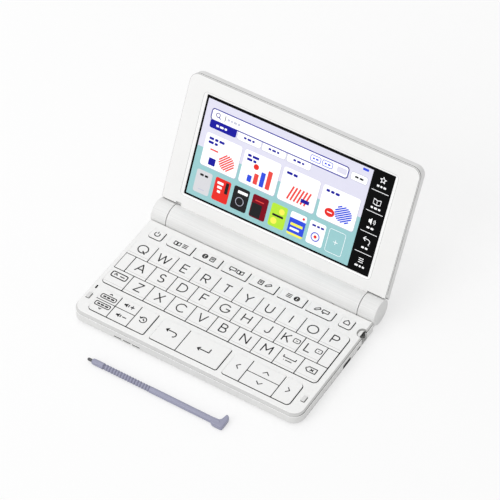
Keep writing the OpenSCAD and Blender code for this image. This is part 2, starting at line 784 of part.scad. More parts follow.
module lid_bezel() {
    color("whitesmoke") in_lid() difference() {
        union() {
            difference() {
                lid_plate(lid_back, lid_back + bezel_t, 4, 0.05, 1);
                ear_cuts(ear_r);
                translate([turn_x0 - 0.4, -5, barrel_r]) cube([3, 20, 2.1]);
            }
            difference() {
                lid_plate(lid_back + bezel_t - 0.1, cover_y + 1.2, ear_r + 2.6, wall + lip_gap, 2);
                lid_plate(lid_back - 1, cover_y + 3, ear_r + 2.6, wall + lip_gap + lip_t, 1);
            }
            along_x(turn_x0, turn_x1, barrel_r);
        }
        hull() {
            window(glass_gap, glass_y, 0.01);
            window(frame_bevel, lid_back - 0.02, 0.01);
        }
        window(glass_gap, lid_back - 1, 4);
        along_x(bore_x0, bore_x1, bay_bore_r);
        along_x(turn_x0 - 1, pin_x0, pin_r + pin_gap);
        along_x(pin_x1, turn_x1 + 1, pin_r + pin_gap);
        door_arc(bore_x0 + door_in - door_gap, bore_x1 - door_in + door_gap, bay_bore_r - 1, barrel_r + 1, 0);
    }
}

// The opening for the glass, grown by d, from y inwards
module window(d, y, t) {
    translate([0, y + t, 0]) rotate([90, 0, 0]) linear_extrude(t)
        translate([glass_x0 - d, glass_low - d]) square([glass_w + 2 * d, glass_h + 2 * d]);
}

module lid_cover() {
    bevel_y = back_y - lid_bevel;
    rib_y = glass_y + glass_t + lcd_t + 4 * stack_gap + 0.5;
    color("gainsboro") in_lid() difference() {
        union() {
            difference() {
                hull() {
                    lid_plate(cover_y, cover_y + 0.01, cover_low, 0, cover_foot_r, $fn = 32);
                    lid_plate(bevel_y, bevel_y + 0.01, cover_low, 0, cover_foot_r, $fn = 32);
                    lid_plate(back_y - 0.01, back_y, cover_low, lid_bevel, cover_foot_r, $fn = 32);
                }
                lid_plate(cover_y - 1, back_y - wall, ear_r + 2.6, wall, 2);
            }
            for (i = [-2 : 2]) {
                translate([i * glass_w * 0.18 - 0.5, rib_y, ear_r + 4])
                    cube([1, back_y - wall - rib_y + 0.1, lid_h - ear_r - 6]);
            }
        }
        along_x(turn_x0 - 0.1, turn_x1 + 0.1, barrel_r + 0.1);
        ear_cuts(ear_r);
    }
}

module touch_panel() {
    color("black") in_lid() window(0, glass_y, glass_t);
}

module lcd_panel() {
    color("lightgray") in_lid() {
        window(lcd_over, glass_y + glass_t + stack_gap, lcd_t);
        translate([glass_mid - strip_w / 2, glass_y + glass_t + 0.45, glass_low - lcd_over - strip_h])
            cube([strip_w, 1.2, strip_h + 0.4]);
    }
}

module battery_cells() {
    nub_r = 2.7;
    color("goldenrod") in_lid() {
        for (x = [cells_x0, cells_x0 + cell_l + stack_gap]) {
            along_x(x, x + cell_l - 1, cell_r);
            along_x(x + cell_l - 1.1, x + cell_l, nub_r);
        }
    }
}

module battery_contacts() {
    plate_x = bore_x0 + stack_gap;
    color("silver") in_lid() {
        along_x(plate_x, plate_x + plate_t, plate_r);
        difference() {
            along_x(plate_x + plate_t - 0.1, cells_x0 - stack_gap, spring_r);
            along_x(plate_x + plate_t + 0.1, cells_x0 + 1, spring_r * 0.8);
        }
        along_x(bore_x1 - stack_gap - plate_t, bore_x1 - stack_gap, plate_r);
    }
}

module battery_door() {
    color("whitesmoke") in_lid() door_arc(bore_x0 + door_in, bore_x1 - door_in - door_slide,
        bay_bore_r, barrel_r, door_gap / barrel_r * 180 / PI);
}

// The plan of the hooked head, with its elbow at the rear end of the shaft
module hook_plan() {
    polygon([
        [-8.2, -stylus_r * 0.8], [-7.2, -hook_back * 0.84], [-5.8, -hook_back], [-0.8, -hook_back],
        [0, -hook_back + 0.8], [-0.2, hook_reach - 2.4], [-0.9, hook_reach - 0.9], [-2.1, hook_reach],
        [-head_w + 0.2, hook_reach - 0.5], [-head_w - 0.5, stylus_r], [-8.2, stylus_r * 0.8]
    ]);
}

module stylus() {
    color("lightsteelblue") translate([-stylus_x, front - stylus_off, stylus_r]) {
        along_x(0, tip_l + 1, tip_r);
        difference() {
            along_x(tip_l, stylus_l - head_w, stylus_r);
            for (i = [0 : rib_count]) {
                translate([grip_from - 0.3 + i * rib_pitch, 0, 0]) rotate([0, 90, 0]) difference() {
                    cylinder(r = stylus_r + 1, h = 0.6);
                    translate([0, 0, -1]) cylinder(r = stylus_r - rib_depth, h = 3);
                }
            }
        }
        translate([stylus_l, 0, -stylus_r + 0.2]) linear_extrude(2 * stylus_r - 0.4) hook_plan();
    }
}

lower_case();
keyboard_deck();
rubber_feet();
case_screws();
main_board();
dome_sheet();
hinge_pins();
lid_bezel();
lid_cover();
touch_panel();
lcd_panel();
battery_cells();
battery_contacts();
battery_door();
stylus();
for (k = keys) {
    key_cap(k);
}
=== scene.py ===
import json
import logging
import math
from dataclasses import dataclass, field
from enum import Enum
from typing import Callable, Iterable, Sequence

import bmesh
import bpy
from mathutils import Matrix, Vector
from mathutils.geometry import tessellate_polygon

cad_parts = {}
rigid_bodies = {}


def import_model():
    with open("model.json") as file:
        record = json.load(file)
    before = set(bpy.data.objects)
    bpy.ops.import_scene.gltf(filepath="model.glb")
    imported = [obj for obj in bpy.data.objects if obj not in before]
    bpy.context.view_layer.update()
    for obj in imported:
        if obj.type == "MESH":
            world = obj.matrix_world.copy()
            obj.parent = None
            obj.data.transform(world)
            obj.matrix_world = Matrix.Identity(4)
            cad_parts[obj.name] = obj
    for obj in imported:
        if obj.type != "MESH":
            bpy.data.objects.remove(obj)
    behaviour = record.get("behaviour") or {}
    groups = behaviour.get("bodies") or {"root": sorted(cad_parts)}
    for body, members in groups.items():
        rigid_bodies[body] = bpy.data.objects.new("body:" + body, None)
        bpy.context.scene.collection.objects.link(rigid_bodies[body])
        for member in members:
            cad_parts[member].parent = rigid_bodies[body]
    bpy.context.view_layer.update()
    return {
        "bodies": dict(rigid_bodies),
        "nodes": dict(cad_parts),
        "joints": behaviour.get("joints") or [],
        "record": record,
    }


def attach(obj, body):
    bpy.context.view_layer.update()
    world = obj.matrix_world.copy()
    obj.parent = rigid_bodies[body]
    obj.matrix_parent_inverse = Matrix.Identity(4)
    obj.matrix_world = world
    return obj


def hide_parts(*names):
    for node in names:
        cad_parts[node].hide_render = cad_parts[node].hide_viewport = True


LOG = logging.getLogger("pocket_dictionary")
MM = 0.001

Point = tuple[float, float]
Place = tuple[float, float, float]
Strokes = list[list[Point]]
Obj = bpy.types.Object
Socket = bpy.types.NodeSocket


# sizes shared by all pieces, in millimetres

HALF_W = 74.0
FRONT = -54.5
REAR = 26.0
DECK_H = 9.0
DECK_LOW = 7.75
CASE_TOP = 7.0
CASE_R = 7.0
HINGE_Y = 33.52
HINGE_Z = 9.4
BARREL_R = 7.85
TURN_X0 = -63.6
TURN_X1 = 62.9
SEAM = 0.4
LEAN = 25.5
LID_H = 88.02
EAR_R = 8.9
BAY_Y = REAR - 10.5
BAY_Z = 3.45
GLASS = (-60.9, 60.4, 16.1, 78.52)
POSTS = ((-70.0, FRONT + 7.25), (70.0, FRONT + 7.25), (-70.0, REAR - 3.25), (70.0, REAR - 3.25),
         (0.0, REAR - 3.25))
UPRIGHT = Matrix.Identity(4)
ON_LID = Matrix.Translation((0, HINGE_Y, HINGE_Z)) @ Matrix.Rotation(math.radians(-LEAN), 4, "X")


class Plane(Enum):
    """Which plane a ring is drawn in: level with the table, on the lid facing its front, or across X."""

    LEVEL = "level"
    LID = "lid"
    SIDE = "side"

    def place(self, point: Point, height: float) -> Place:
        """Sets a point at a height over this plane."""
        a, b = point
        return {Plane.LEVEL: (a, b, height), Plane.LID: (a, height, b), Plane.SIDE: (height, a, b)}[self]


# node trees


class Graph:
    """A shader or geometry tree that is filled node by node."""

    def __init__(self, tree: bpy.types.NodeTree) -> None:
        """Takes the tree to fill.

        Args:
            tree: An empty node tree.
        """
        self.tree = tree

    def node(self, kind: str, settings: dict | None = None, values: dict | None = None) -> bpy.types.Node:
        """Adds a node, sets its options, then its inputs.

        Args:
            kind: The node's type name.
            settings: Attributes of the node, set before its inputs.
            values: Input names or numbers, with a value, a socket or a Wire for each.

        Returns:
            The new node.
        """
        made = self.tree.nodes.new(kind)
        for name, value in (settings or {}).items():
            setattr(made, name, value)
        for name, value in (values or {}).items():
            self.feed(made.inputs[name], value)
        return made

    def feed(self, socket: Socket, value: object) -> None:
        """Links or sets one input.

        Args:
            socket: The input.
            value: A Wire, a socket or a plain value.
        """
        if isinstance(value, Wire):
            value = value.socket
        if isinstance(value, Socket):
            self.tree.links.new(value, socket)
        else:
            socket.default_value = value

    def noise(self, place: Socket, scale: float, detail: float = 2.0, **more: float) -> "Wire":
        """Adds a noise texture.

        Args:
            place: Its coordinates.
            scale: Its scale.
            detail: Its detail.
            more: Its other inputs by name.

        Returns:
            Its strength, 0 to 1.
        """
        values = {"Vector": place, "Scale": scale, "Detail": detail, **more}
        return Wire(self, self.node("ShaderNodeTexNoise", {}, values).outputs[0])


def shader_graph(owner: bpy.types.Material | bpy.types.World) -> Graph:
    """Starts the empty shader tree of a new material or world.

    Args:
        owner: The material or world.

    Returns:
        The tree's graph.
    """
    owner.use_nodes = True
    owner.node_tree.nodes.clear()
    return Graph(owner.node_tree)


class Wire:
    """A number that runs through a shader tree and takes plain arithmetic."""

    def __init__(self, graph: Graph, socket: Socket) -> None:
        """Wraps an output socket of a tree."""
        self.graph = graph
        self.socket = socket

    def math(self, operation: str, *others: object) -> "Wire":
        """Joins this number and others in one Math node.

        Args:
            operation: The Math node's operation.
            others: The other operands.

        Returns:
            The result as a Wire.
        """
        made = self.graph.node("ShaderNodeMath", {"operation": operation},
                               dict(enumerate((self, *others))))
        return Wire(self.graph, made.outputs[0])

    def __add__(self, other: object) -> "Wire":
        """Sum."""
        return self.math("ADD", other)

    def __sub__(self, other: object) -> "Wire":
        """Difference."""
        return self.math("SUBTRACT", other)

    def __mul__(self, other: object) -> "Wire":
        """Product."""
        return self.math("MULTIPLY", other)

    def clamped(self, low: float, high: float) -> "Wire":
        """This number kept between two values."""
        return self.math("MAXIMUM", low).math("MINIMUM", high)

    def between(self, first: Sequence[float], second: Sequence[float]) -> Socket:
        """Mixes two colours by this number.

        Args:
            first: The colour at 0.
            second: The colour at 1.

        Returns:
            The mixed colour's socket.
        """
        made = self.graph.node("ShaderNodeMix", {"data_type": "RGBA"},
                               {0: self, 6: (*first, 1.0), 7: (*second, 1.0)})
        return made.outputs[2]


def linear(red: int, green: int, blue: int) -> tuple[float, float, float]:
    """Turns a colour as seen on a monitor into a linear one.

    Args:
        red: Red, 0 to 255.
        green: Green, 0 to 255.
        blue: Blue, 0 to 255.

    Returns:
        The three channels, 0 to 1.
    """
    def one(value: int) -> float:
        """Turns one channel."""
        part = value / 255
        return part / 12.92 if part <= 0.04045 else ((part + 0.055) / 1.055) ** 2.4
    return one(red), one(green), one(blue)


# finishes


@dataclass(frozen=True)
class Finish:
    """A moulded or printed surface with a fine grain and faint clouding."""

    name: str
    colour: tuple[float, float, float]
    rough: float = 0.5
    metal: float = 0.0
    coat: float = 0.0
    grain: float = 0.25
    grain_mm: float = 0.35
    clouding: float = 0.03
    glow: float = 0.0
    shine: float = 0.5

    def shade(self, graph: Graph, place: Socket) -> Wire:
        """Gives the pattern, 0 to 1, that the colour follows.

        Args:
            graph: The tree.
            place: Object coordinates.

        Returns:
            The pattern.
        """
        return graph.noise(place, 45.0, 3.0) * 0.7 + graph.noise(place, 900.0) * 0.3

    def material(self) -> bpy.types.Material:
        """Makes the material, or finds it when it is there already.

        Returns:
            The material.
        """
        made = bpy.data.materials.get(self.name)
        if made:
            return made
        made = bpy.data.materials.new(self.name)
        graph = shader_graph(made)
        place = graph.node("ShaderNodeTexCoord").outputs["Object"]
        pattern = self.shade(graph, place)
        dark = tuple(c * (1 - self.clouding) for c in self.colour)
        light = tuple(min(c * (1 + self.clouding), 1.0) for c in self.colour)
        colour = pattern.between(dark, light)
        grain = graph.noise(place, 1 / (self.grain_mm * MM), Roughness=0.6)
        bump = graph.node("ShaderNodeBump", {}, {
            "Strength": self.grain, "Distance": self.grain_mm * MM * 0.12, "Height": grain})
        rough = (pattern * 0.16 + (self.rough - 0.08)).clamped(0.02, 1.0)
        shader = graph.node("ShaderNodeBsdfPrincipled", {}, {
            "Base Color": colour, "Metallic": self.metal, "Roughness": rough, "Coat Weight": self.coat,
            "Specular IOR Level": self.shine, "Coat Roughness": 0.06, "Normal": bump.outputs[0]})
        if self.glow:
            graph.feed(shader.inputs["Emission Color"], colour)
            shader.inputs["Emission Strength"].default_value = self.glow
        graph.node("ShaderNodeOutputMaterial", {}, {"Surface": shader.outputs[0]})
        made.diffuse_color = (*self.colour, 1.0)
        return made


@dataclass(frozen=True)
class Streaked(Finish):
    """A moulded surface with faint streaks that run along the hinge barrel."""

    streak: float = 0.55

    def shade(self, graph: Graph, place: Socket) -> Wire:
        """Gives streaks by the angle round the hinge axis, over faint clouding.

        Args:
            graph: The tree.
            place: Object coordinates.

        Returns:
            The pattern.
        """
        parts = graph.node("ShaderNodeSeparateXYZ", {}, {0: place})
        back = Wire(graph, parts.outputs[1]) - HINGE_Y * MM
        up = Wire(graph, parts.outputs[2]) - HINGE_Z * MM
        angle = up.math("ARCTAN2", back)
        bands = graph.node("ShaderNodeTexNoise", {"noise_dimensions": "1D"},
                           {"W": angle * BARREL_R, "Scale": 1.5, "Detail": 3.0})
        return Wire(graph, bands.outputs[0]) * self.streak + super().shade(graph, place) * (1 - self.streak)


@dataclass(frozen=True)
class Lit(Finish):
    """A picture element of the display, with the fine columns of its pixels."""

    def shade(self, graph: Graph, place: Socket) -> Wire:
        """Gives the pixel columns."""
        columns = graph.node("ShaderNodeTexWave", {"bands_direction": "X"}, {"Vector": place, "Scale": 900.0})
        return Wire(graph, columns.outputs[0])


@dataclass(frozen=True)
class Brushed(Finish):
    """Metal with fine turning marks."""

    def shade(self, graph: Graph, place: Socket) -> Wire:
        """Gives the marks as a noise drawn out along X."""
        drawn = graph.node("ShaderNodeMapping", {}, {"Vector": place, "Scale": (200.0, 5000.0, 5000.0)})
        return graph.noise(drawn.outputs[0], 1.0, 3.0)


WHITE = Finish("white_case", (0.87, 0.87, 0.862), rough=0.42, coat=0.05)
# greyer white for the deck's sloping rim band and the key creases: painted shade on the same white moulding
RIM_SHADE = Finish("white_rim", (0.62, 0.62, 0.612), rough=0.45)
BEZEL = Finish("white_bezel", (0.87, 0.868, 0.86), rough=0.4, coat=0.06)
# brighter white on the case's top edge and the bezel's slope round the glass: painted highlight
HIGHLIGHT = Finish("white_bevel", (0.95, 0.95, 0.945), rough=0.35, coat=0.1, clouding=0.015)
# mid grey on the bezel's outer edge rounding and the outer band round the window: painted shade
EDGE_SHADE = Finish("bezel_edge", (0.5, 0.5, 0.495), rough=0.5)
BARREL = Streaked("white_barrel", (0.78, 0.78, 0.773), rough=0.45, clouding=0.17, coat=0.02)
# a darker grey than the barrel for the flat end faces turned from the lamps: painted shade
DISC_SHADE = Finish("barrel_end", (0.75, 0.75, 0.745), rough=0.45)
KEY = Finish("white_key", (0.87, 0.87, 0.863), rough=0.45, clouding=0.02)
# near black on the lower side walls of keys, wells and pads and in small holes: painted shade in the gaps
GAP_SHADE = Finish("key_skirt", (0.05, 0.05, 0.052), rough=0.7, clouding=0.1)
GREY = Finish("grey_case", (0.74, 0.74, 0.732), rough=0.5)
COVER = Finish("grey_cover", (0.74, 0.74, 0.735), rough=0.45, coat=0.08)
RUBBER = Finish("grey_rubber", (0.72, 0.72, 0.715), rough=0.8, grain=0.5, clouding=0.06)
SHADE = Finish("white_shade", (0.34, 0.34, 0.335), rough=0.6)
# near black: the display panel and the socket's tongue in their own black, and painted shade in gaps,
# openings and on the dome sheet
BLACK_AND_SHADE = Finish("dark_well", (0.025, 0.025, 0.027), rough=0.85, shine=0.2)
BLACK = Finish("black_glass", (0.0015, 0.0015, 0.0018), rough=0.2, grain=0.01, clouding=0.2, shine=0.06)
LEGEND = Finish("key_ink", (0.014, 0.014, 0.016), rough=0.7, grain=0.1, clouding=0.1, shine=0.2)
STEEL = Brushed("turned_steel", (0.6, 0.6, 0.62), rough=0.3, metal=1.0, clouding=0.15)
SOCKET = Brushed("socket_shell", (0.1, 0.1, 0.105), rough=0.45, metal=0.5, clouding=0.2)
BOARD = Finish("board_laminate", (0.03, 0.2, 0.09), rough=0.45, coat=0.2, clouding=0.15)
CELL = Finish("cell_sleeve", (0.5, 0.36, 0.1), rough=0.35, coat=0.3, clouding=0.08)
LAVENDER = Finish("lavender_plastic", linear(148, 149, 171), rough=0.4, coat=0.1, clouding=0.05)
# darker lavender on the grip's core between the ribs: painted shade
LAVENDER_SHADE = Finish("lavender_hollow", linear(116, 116, 138), rough=0.5, clouding=0.05)
TIP = Finish("stylus_tip", (0.045, 0.045, 0.05), rough=0.3, coat=0.3, clouding=0.15)


def lit(name: str, red: int, green: int, blue: int) -> Lit:
    """Names a display colour, given as it is seen."""
    return Lit(f"display_{name}", linear(red, green, blue), rough=0.4, grain=0.02, clouding=0.02, glow=0.16,
               shine=0.06)


PALE = lit("pale", 214, 213, 229)
TEAL = lit("teal", 148, 194, 197)
SNOW = lit("white", 250, 250, 252)
NAVY = lit("navy", 26, 26, 150)
RED = lit("red", 222, 46, 40)
CORAL = lit("coral", 226, 72, 66)
BLUE = lit("blue", 50, 76, 214)
COAL = lit("coal", 34, 34, 36)
WINE = lit("wine", 120, 12, 30)
LIME = lit("lime", 176, 222, 60)
YELLOW = lit("yellow", 240, 232, 90)
SILVER = lit("silver", 206, 206, 210)
MIST = lit("mist", 190, 192, 206)


# meshes


def outline(x0: float, x1: float, y0: float, y1: float, radii: float | Sequence[float],
            steps: int = 8) -> list[Point]:
    """Draws a rectangle with rounded corners, anticlockwise.

    Args:
        x0: Left edge.
        x1: Right edge.
        y0: Front edge.
        y1: Rear edge.
        radii: One radius, or those of front left, front right, rear right and rear left.
        steps: Straight pieces in each corner.

    Returns:
        The points.
    """
    four = tuple(radii) if isinstance(radii, (tuple, list)) else (radii,) * 4
    r0, r1, r2, r3 = (max(r, 0.02) for r in four)
    corners = ((x0 + r0, y0 + r0, r0, 180), (x1 - r1, y0 + r1, r1, 270),
               (x1 - r2, y1 - r2, r2, 0), (x0 + r3, y1 - r3, r3, 90))
    points = []
    for cx, cy, r, start in corners:
        for i in range(steps + 1):
            t = math.radians(start + 90 * i / steps)
            points.append((cx + r * math.cos(t), cy + r * math.sin(t)))
    return points


def grow(points: Sequence[Point], by: float) -> list[Point]:
    """Moves a closed outline outwards.

    Args:
        points: The outline, anticlockwise.
        by: The distance, below zero for inwards.

    Returns:
        As many points, moved.
    """
    out = []
    for i, (x, y) in enumerate(points):
        before, after = points[i - 1], points[(i + 1) % len(points)]
        a = Vector((x - before[0], y - before[1])).normalized()
        b = Vector((after[0] - x, after[1] - y)).normalized()
        n = Vector((a.y + b.y, -a.x - b.x))
        n = n / max(1 + a.dot(b), 0.3)
        out.append((x + n.x * by, y + n.y * by))
    return out


def arc(cx: float, cy: float, rx: float, ry: float, start: float, end: float, steps: int = 14) -> list[Point]:
    """Draws part of an ellipse between two angles in degrees."""
    return [(cx + rx * math.cos(math.radians(start + (end - start) * i / steps)),
             cy + ry * math.sin(math.radians(start + (end - start) * i / steps))) for i in range(steps + 1)]


def plain(obj: Obj) -> Obj:
    """Turns what an object's modifiers show into its own mesh.

    Args:
        obj: The object.

    Returns:
        The same object, with no modifier.
    """
    bpy.context.view_layer.update()
    seen = obj.evaluated_get(bpy.context.evaluated_depsgraph_get())
    mesh = bpy.data.meshes.new_from_object(seen)
    old = obj.data
    obj.modifiers.clear()
    obj.data = mesh
    bpy.data.meshes.remove(old)
    mesh.name = obj.name
    return obj


def settle(obj: Obj, angle: float = 32.0) -> Obj:
    """Gives soft shading with crisp edges and flat faces kept flat.

    Args:
        obj: The object.
        angle: Edges sharper than this stay crisp.

    Returns:
        The same object.
    """
    mesh = obj.data
    mesh.polygons.foreach_set("use_smooth", [True] * len(mesh.polygons))
    mesh.set_sharp_from_angle(angle=math.radians(angle))
    weighted = obj.modifiers.new("even_normals", "WEIGHTED_NORMAL")
    weighted.keep_sharp = True
    return plain(obj)


def cut(obj: Obj, cutters: Iterable[Obj]) -> Obj:
    """Cuts shapes out of an object and removes them.

    Args:
        obj: The object.
        cutters: The shapes.

    Returns:
        The same object.
    """
    for tool in cutters:
        change = obj.modifiers.new("cut", "BOOLEAN")
        change.operation = "DIFFERENCE"
        change.solver = "EXACT"
        change.object = tool
        plain(obj)
        bpy.data.objects.remove(tool)
    return obj


def tint(obj: Obj, index: int, low: Place, high: Place, upright: bool = False) -> None:
    """Gives another finish to the faces of an unplaced object whose middle lies in a box.

    Args:
        obj: The object, in millimetres.
        index: The finish's index.
        low: The box's lowest corner.
        high: The box's highest corner.
        upright: Whether only faces that stand upright change.
    """
    for face in obj.data.polygons:
        inside = all(a < c < b for a, c, b in zip(low, face.center, high))
        if inside and not (upright and abs(face.normal.z) > 0.6):
            face.material_index = index


def placed(name: str, data: bpy.types.ID) -> Obj:
    """Puts data into the scene as a new object.

    Args:
        name: The object's name.
        data: Its mesh, camera or lamp.

    Returns:
        The object.
    """
    obj = bpy.data.objects.new(name, data)
    bpy.context.scene.collection.objects.link(obj)
    return obj


def landed(name: str, mesh: bmesh.types.BMesh) -> Obj:
    """Turns a mesh under construction into an object of the scene.

    Args:
        name: The object's name.
        mesh: The mesh, which is used up.

    Returns:
        The object.
    """
    data = bpy.data.meshes.new(name)
    mesh.to_mesh(data)
    mesh.free()
    return placed(name, data)


class Solid:
    """Gathers rings, caps and turned shapes into closed shells, in millimetres."""

    def __init__(self, plane: Plane = Plane.LEVEL) -> None:
        """Starts an empty solid.

        Args:
            plane: The plane that its rings are drawn in.
        """
        self.mesh = bmesh.new()
        self.plane = plane
        self.index = 0

    def ring(self, points: Sequence[Point],
             level: float | Callable[[Point], float]) -> list[bmesh.types.BMVert]:
        """Adds one closed row of points.

        Args:
            points: The row, in the solid's plane.
            level: The height over the plane, or a rule that gives it.

        Returns:
            The points as vertices.
        """
        heights = [level(p) if callable(level) else level for p in points]
        return [self.mesh.verts.new(self.plane.place(p, h)) for p, h in zip(points, heights)]

    def face(self, verts: Sequence[bmesh.types.BMVert]) -> None:
        """Adds one face with the current finish."""
        self.mesh.faces.new(verts).material_index = self.index

    def bridge(self, one: Sequence[bmesh.types.BMVert], two: Sequence[bmesh.types.BMVert]) -> None:
        """Joins two rows of as many points by faces."""
        for i in range(len(one)):
            self.face((one[i - 1], one[i], two[i], two[i - 1]))

    def cap(self, loops: Sequence[Sequence[bmesh.types.BMVert]]) -> None:
        """Closes an outline, with holes where it has them.

        Args:
            loops: The outline and its holes.
        """
        if len(loops) == 1:
            self.face(loops[0])
            return
        verts = [v for loop in loops for v in loop]
        for three in tessellate_polygon([[v.co for v in loop] for loop in loops]):
            self.face([verts[i] for i in three])

    def loft(self, rows: Sequence[tuple[Sequence[Point], float]], ends: bool = True,
             bands: Sequence[int] = ()) -> list[list]:
        """Joins rows in order.

        Args:
            rows: Points and height of each row.
            ends: Whether the first and the last are closed.
            bands: The finish of each band between two rows, where they differ.

        Returns:
            The rows as vertices.
        """
        rings = [self.ring(points, level) for points, level in rows]
        usual = self.index
        for i, (one, two) in enumerate(zip(rings, rings[1:])):
            self.index = bands[i] if i < len(bands) else usual
            self.bridge(one, two)
        self.index = usual
        if ends:
            self.cap([rings[0]])
            self.cap([rings[-1]])
        return rings

    def turned(self, profile: Sequence[tuple[float, float]], y: float, z: float, steps: int = 64) -> None:
        """Adds a shape turned round an axis along X.

        Args:
            profile: Places along X, with the radius at each.
            y: The axis in depth.
            z: The axis in height.
            steps: Straight pieces round it.
        """
        rings = []
        for x, r in profile:
            rings.append([self.mesh.verts.new((x, y + r * math.cos(2 * math.pi * i / steps),
                                               z + r * math.sin(2 * math.pi * i / steps)))
                          for i in range(steps)])
        for one, two in zip(rings, rings[1:]):
            self.bridge(one, two)
        self.cap([rings[0]])
        self.cap([rings[-1]])

    def block(self, x0: float, x1: float, y0: float, y1: float, z0: float, z1: float,
              r: float = 0.15) -> None:
        """Adds a block whose upright edges have a small radius and whose top edges are eased.

        Args:
            x0: Left side.
            x1: Right side.
            y0: Front.
            y1: Rear.
            z0: Underside.
            z1: Top.
            r: The radius of its upright edges.
        """
        loop, ease = outline(x0, x1, y0, y1, r, 3), min(r, 0.12)
        self.loft([(loop, z0), (loop, z1 - ease), (grow(loop, -ease * 0.3), z1 - ease * 0.3),
                   (grow(loop, -ease), z1)])

    def absorb(self, obj: Obj) -> None:
        """Takes over the mesh of an unplaced object, which goes, in the current finish.

        Args:
            obj: The object.
        """
        before = len(self.mesh.faces)
        self.mesh.from_mesh(obj.data)
        self.mesh.faces.ensure_lookup_table()
        for one in self.mesh.faces[before:]:
            one.material_index += self.index
        bpy.data.objects.remove(obj)

    def raw(self, name: str) -> Obj:
        """Ends the solid as an unplaced object in millimetres, for cutting and joining.

        Args:
            name: The object's name.

        Returns:
            The object.
        """
        bmesh.ops.remove_doubles(self.mesh, verts=self.mesh.verts, dist=0.0005)
        bmesh.ops.recalc_face_normals(self.mesh, faces=self.mesh.faces)
        return landed(name, self.mesh)

    def finish(self, name: str, finishes: Sequence[Finish], matrix: Matrix = UPRIGHT) -> Obj:
        """Ends the solid as a dressed object in metres.

        Args:
            name: The object's name.
            finishes: A finish for each index used.
            matrix: From the solid's own frame to the whole object's, in millimetres.

        Returns:
            The object.
        """
        return dress(self.raw(name), finishes, matrix)


def dress(obj: Obj, finishes: Sequence[Finish], matrix: Matrix = UPRIGHT) -> Obj:
    """Places an unplaced object in its mesh, in metres, and gives it its finishes.

    Args:
        obj: The object, in millimetres.
        finishes: A finish for each index used.
        matrix: From the object's own frame to the whole object's.

    Returns:
        The same object.
    """
    obj.data.transform(Matrix.Scale(MM, 4) @ matrix)
    slots = obj.data.materials
    for i, one in enumerate(finishes):
        if i < len(slots):
            slots[i] = one.material()
        else:
            slots.append(one.material())
    return settle(obj)


def stamp(points: Sequence[Point], low: float, high: float, plane: Plane = Plane.LEVEL) -> Obj:
    """Makes a prism with sharp edges to cut with.

    Args:
        points: Its outline.
        low: Where it starts, over the plane.
        high: Where it ends.
        plane: The plane of the outline.

    Returns:
        The prism, unplaced.
    """
    tool = Solid(plane)
    tool.loft([(points, low), (points, high)])
    return tool.raw("prism_cutter")


def axle(x0: float, x1: float, r: float, y: float = 0.0, z: float = 0.0, steps: int = 64) -> Obj:
    """Makes a round cutter along X.

    Args:
        x0: Its left end.
        x1: Its right end.
        r: Its radius.
        y: Its axis in depth.
        z: Its axis in height.
        steps: Straight pieces round it.

    Returns:
        The cutter, unplaced.
    """
    tool = Solid()
    tool.turned([(x0, r), (x1, r)], y, z, steps)
    return tool.raw("round_cutter")


def rod(x0: float, x1: float, ease: float) -> list[Point]:
    """Gives the profile of a piece of the barrel with eased ends."""
    return [(x0, BARREL_R - ease), (x0 + ease, BARREL_R), (x1 - ease, BARREL_R), (x1, BARREL_R - ease)]


class Ink:
    """Flat printed shapes on one face, each in a layer of its own height."""

    def __init__(self, plane: Plane, level: float, step: float = 0.012) -> None:
        """Starts an empty print.

        Args:
            plane: The plane of the face.
            level: The face's height over that plane; on the lid the print lies in front of it.
            step: The height of one layer.
        """
        self.plane = plane
        self.level = level
        self.step = step
        self.shapes: list[tuple[list[Point], Finish, int]] = []

    def fill(self, points: Sequence[Point], finish: Finish, layer: int = 1) -> None:
        """Prints a filled shape.

        Args:
            points: Its outline.
            finish: Its colour.
            layer: Its layer, 1 for the lowest.
        """
        before = [points[-1], *points[:-1]]
        area = sum(p[0] * q[1] - q[0] * p[1] for p, q in zip(before, points))
        self.shapes.append((list(points) if area > 0 else list(reversed(points)), finish, layer))

    def stroke(self, points: Sequence[Point], width: float, finish: Finish, layer: int = 1,
               closed: bool = False) -> None:
        """Prints a line of even width.

        Args:
            points: The line's middle.
            width: Its width.
            finish: Its colour.
            layer: Its layer.
            closed: Whether it returns to its start.
        """
        path = list(points) + ([points[0], points[1]] if closed else [])
        for a, b in zip(path, path[1:]):
            run = Vector(b) - Vector(a)
            if run.length < 1e-5:
                continue
            side = Vector((-run.y, run.x)).normalized() * width / 2
            ends = [Vector(a) - side, Vector(b) - side, Vector(b) + side, Vector(a) + side]
            self.fill([tuple(v) for v in ends], finish, layer)
        for before, here, after in zip(path, path[1:], path[2:]):
            one, two = Vector(here) - Vector(before), Vector(after) - Vector(here)
            if one.length > 1e-5 and two.length > 1e-5 and one.normalized().dot(two.normalized()) < 0.97:
                self.fill(arc(*here, width / 2, width / 2, 0, 324, 9), finish, layer)

    def build(self, name: str, matrix: Matrix = UPRIGHT) -> Obj:
        """Ends the print as a dressed object in metres.

        Args:
            name: The object's name.
            matrix: From the face's frame to the whole object's.

        Returns:
            The object.
        """
        finishes: list[Finish] = []
        mesh = bmesh.new()
        for points, finish, layer in self.shapes:
            if finish not in finishes:
                finishes.append(finish)
            rise = layer * self.step
            height = self.level + rise if self.plane is Plane.LEVEL else self.level - rise
            verts = [mesh.verts.new(self.plane.place(p, height)) for p in points]
            mesh.faces.new(verts).material_index = finishes.index(finish)
        bmesh.ops.triangulate(mesh, faces=[f for f in mesh.faces if len(f.verts) > 4])
        obj = landed(name, mesh)
        obj.data.transform(Matrix.Scale(MM, 4) @ matrix)
        for one in finishes:
            obj.data.materials.append(one.material())
        return obj


def keep(obj: Obj, body: str, slot: str, *nodes: str) -> Obj:
    """Lets a finished piece ride on its body and stand for its solids.

    Args:
        obj: The piece.
        body: The body that it moves with.
        slot: The record's material slot; not used.
        nodes: The solids that it stands for.

    Returns:
        The piece.
    """
    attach(obj, body)
    if nodes:
        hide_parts(*nodes)
    LOG.info("%s rides on %s, %d faces", obj.name, body, len(obj.data.polygons))
    return obj


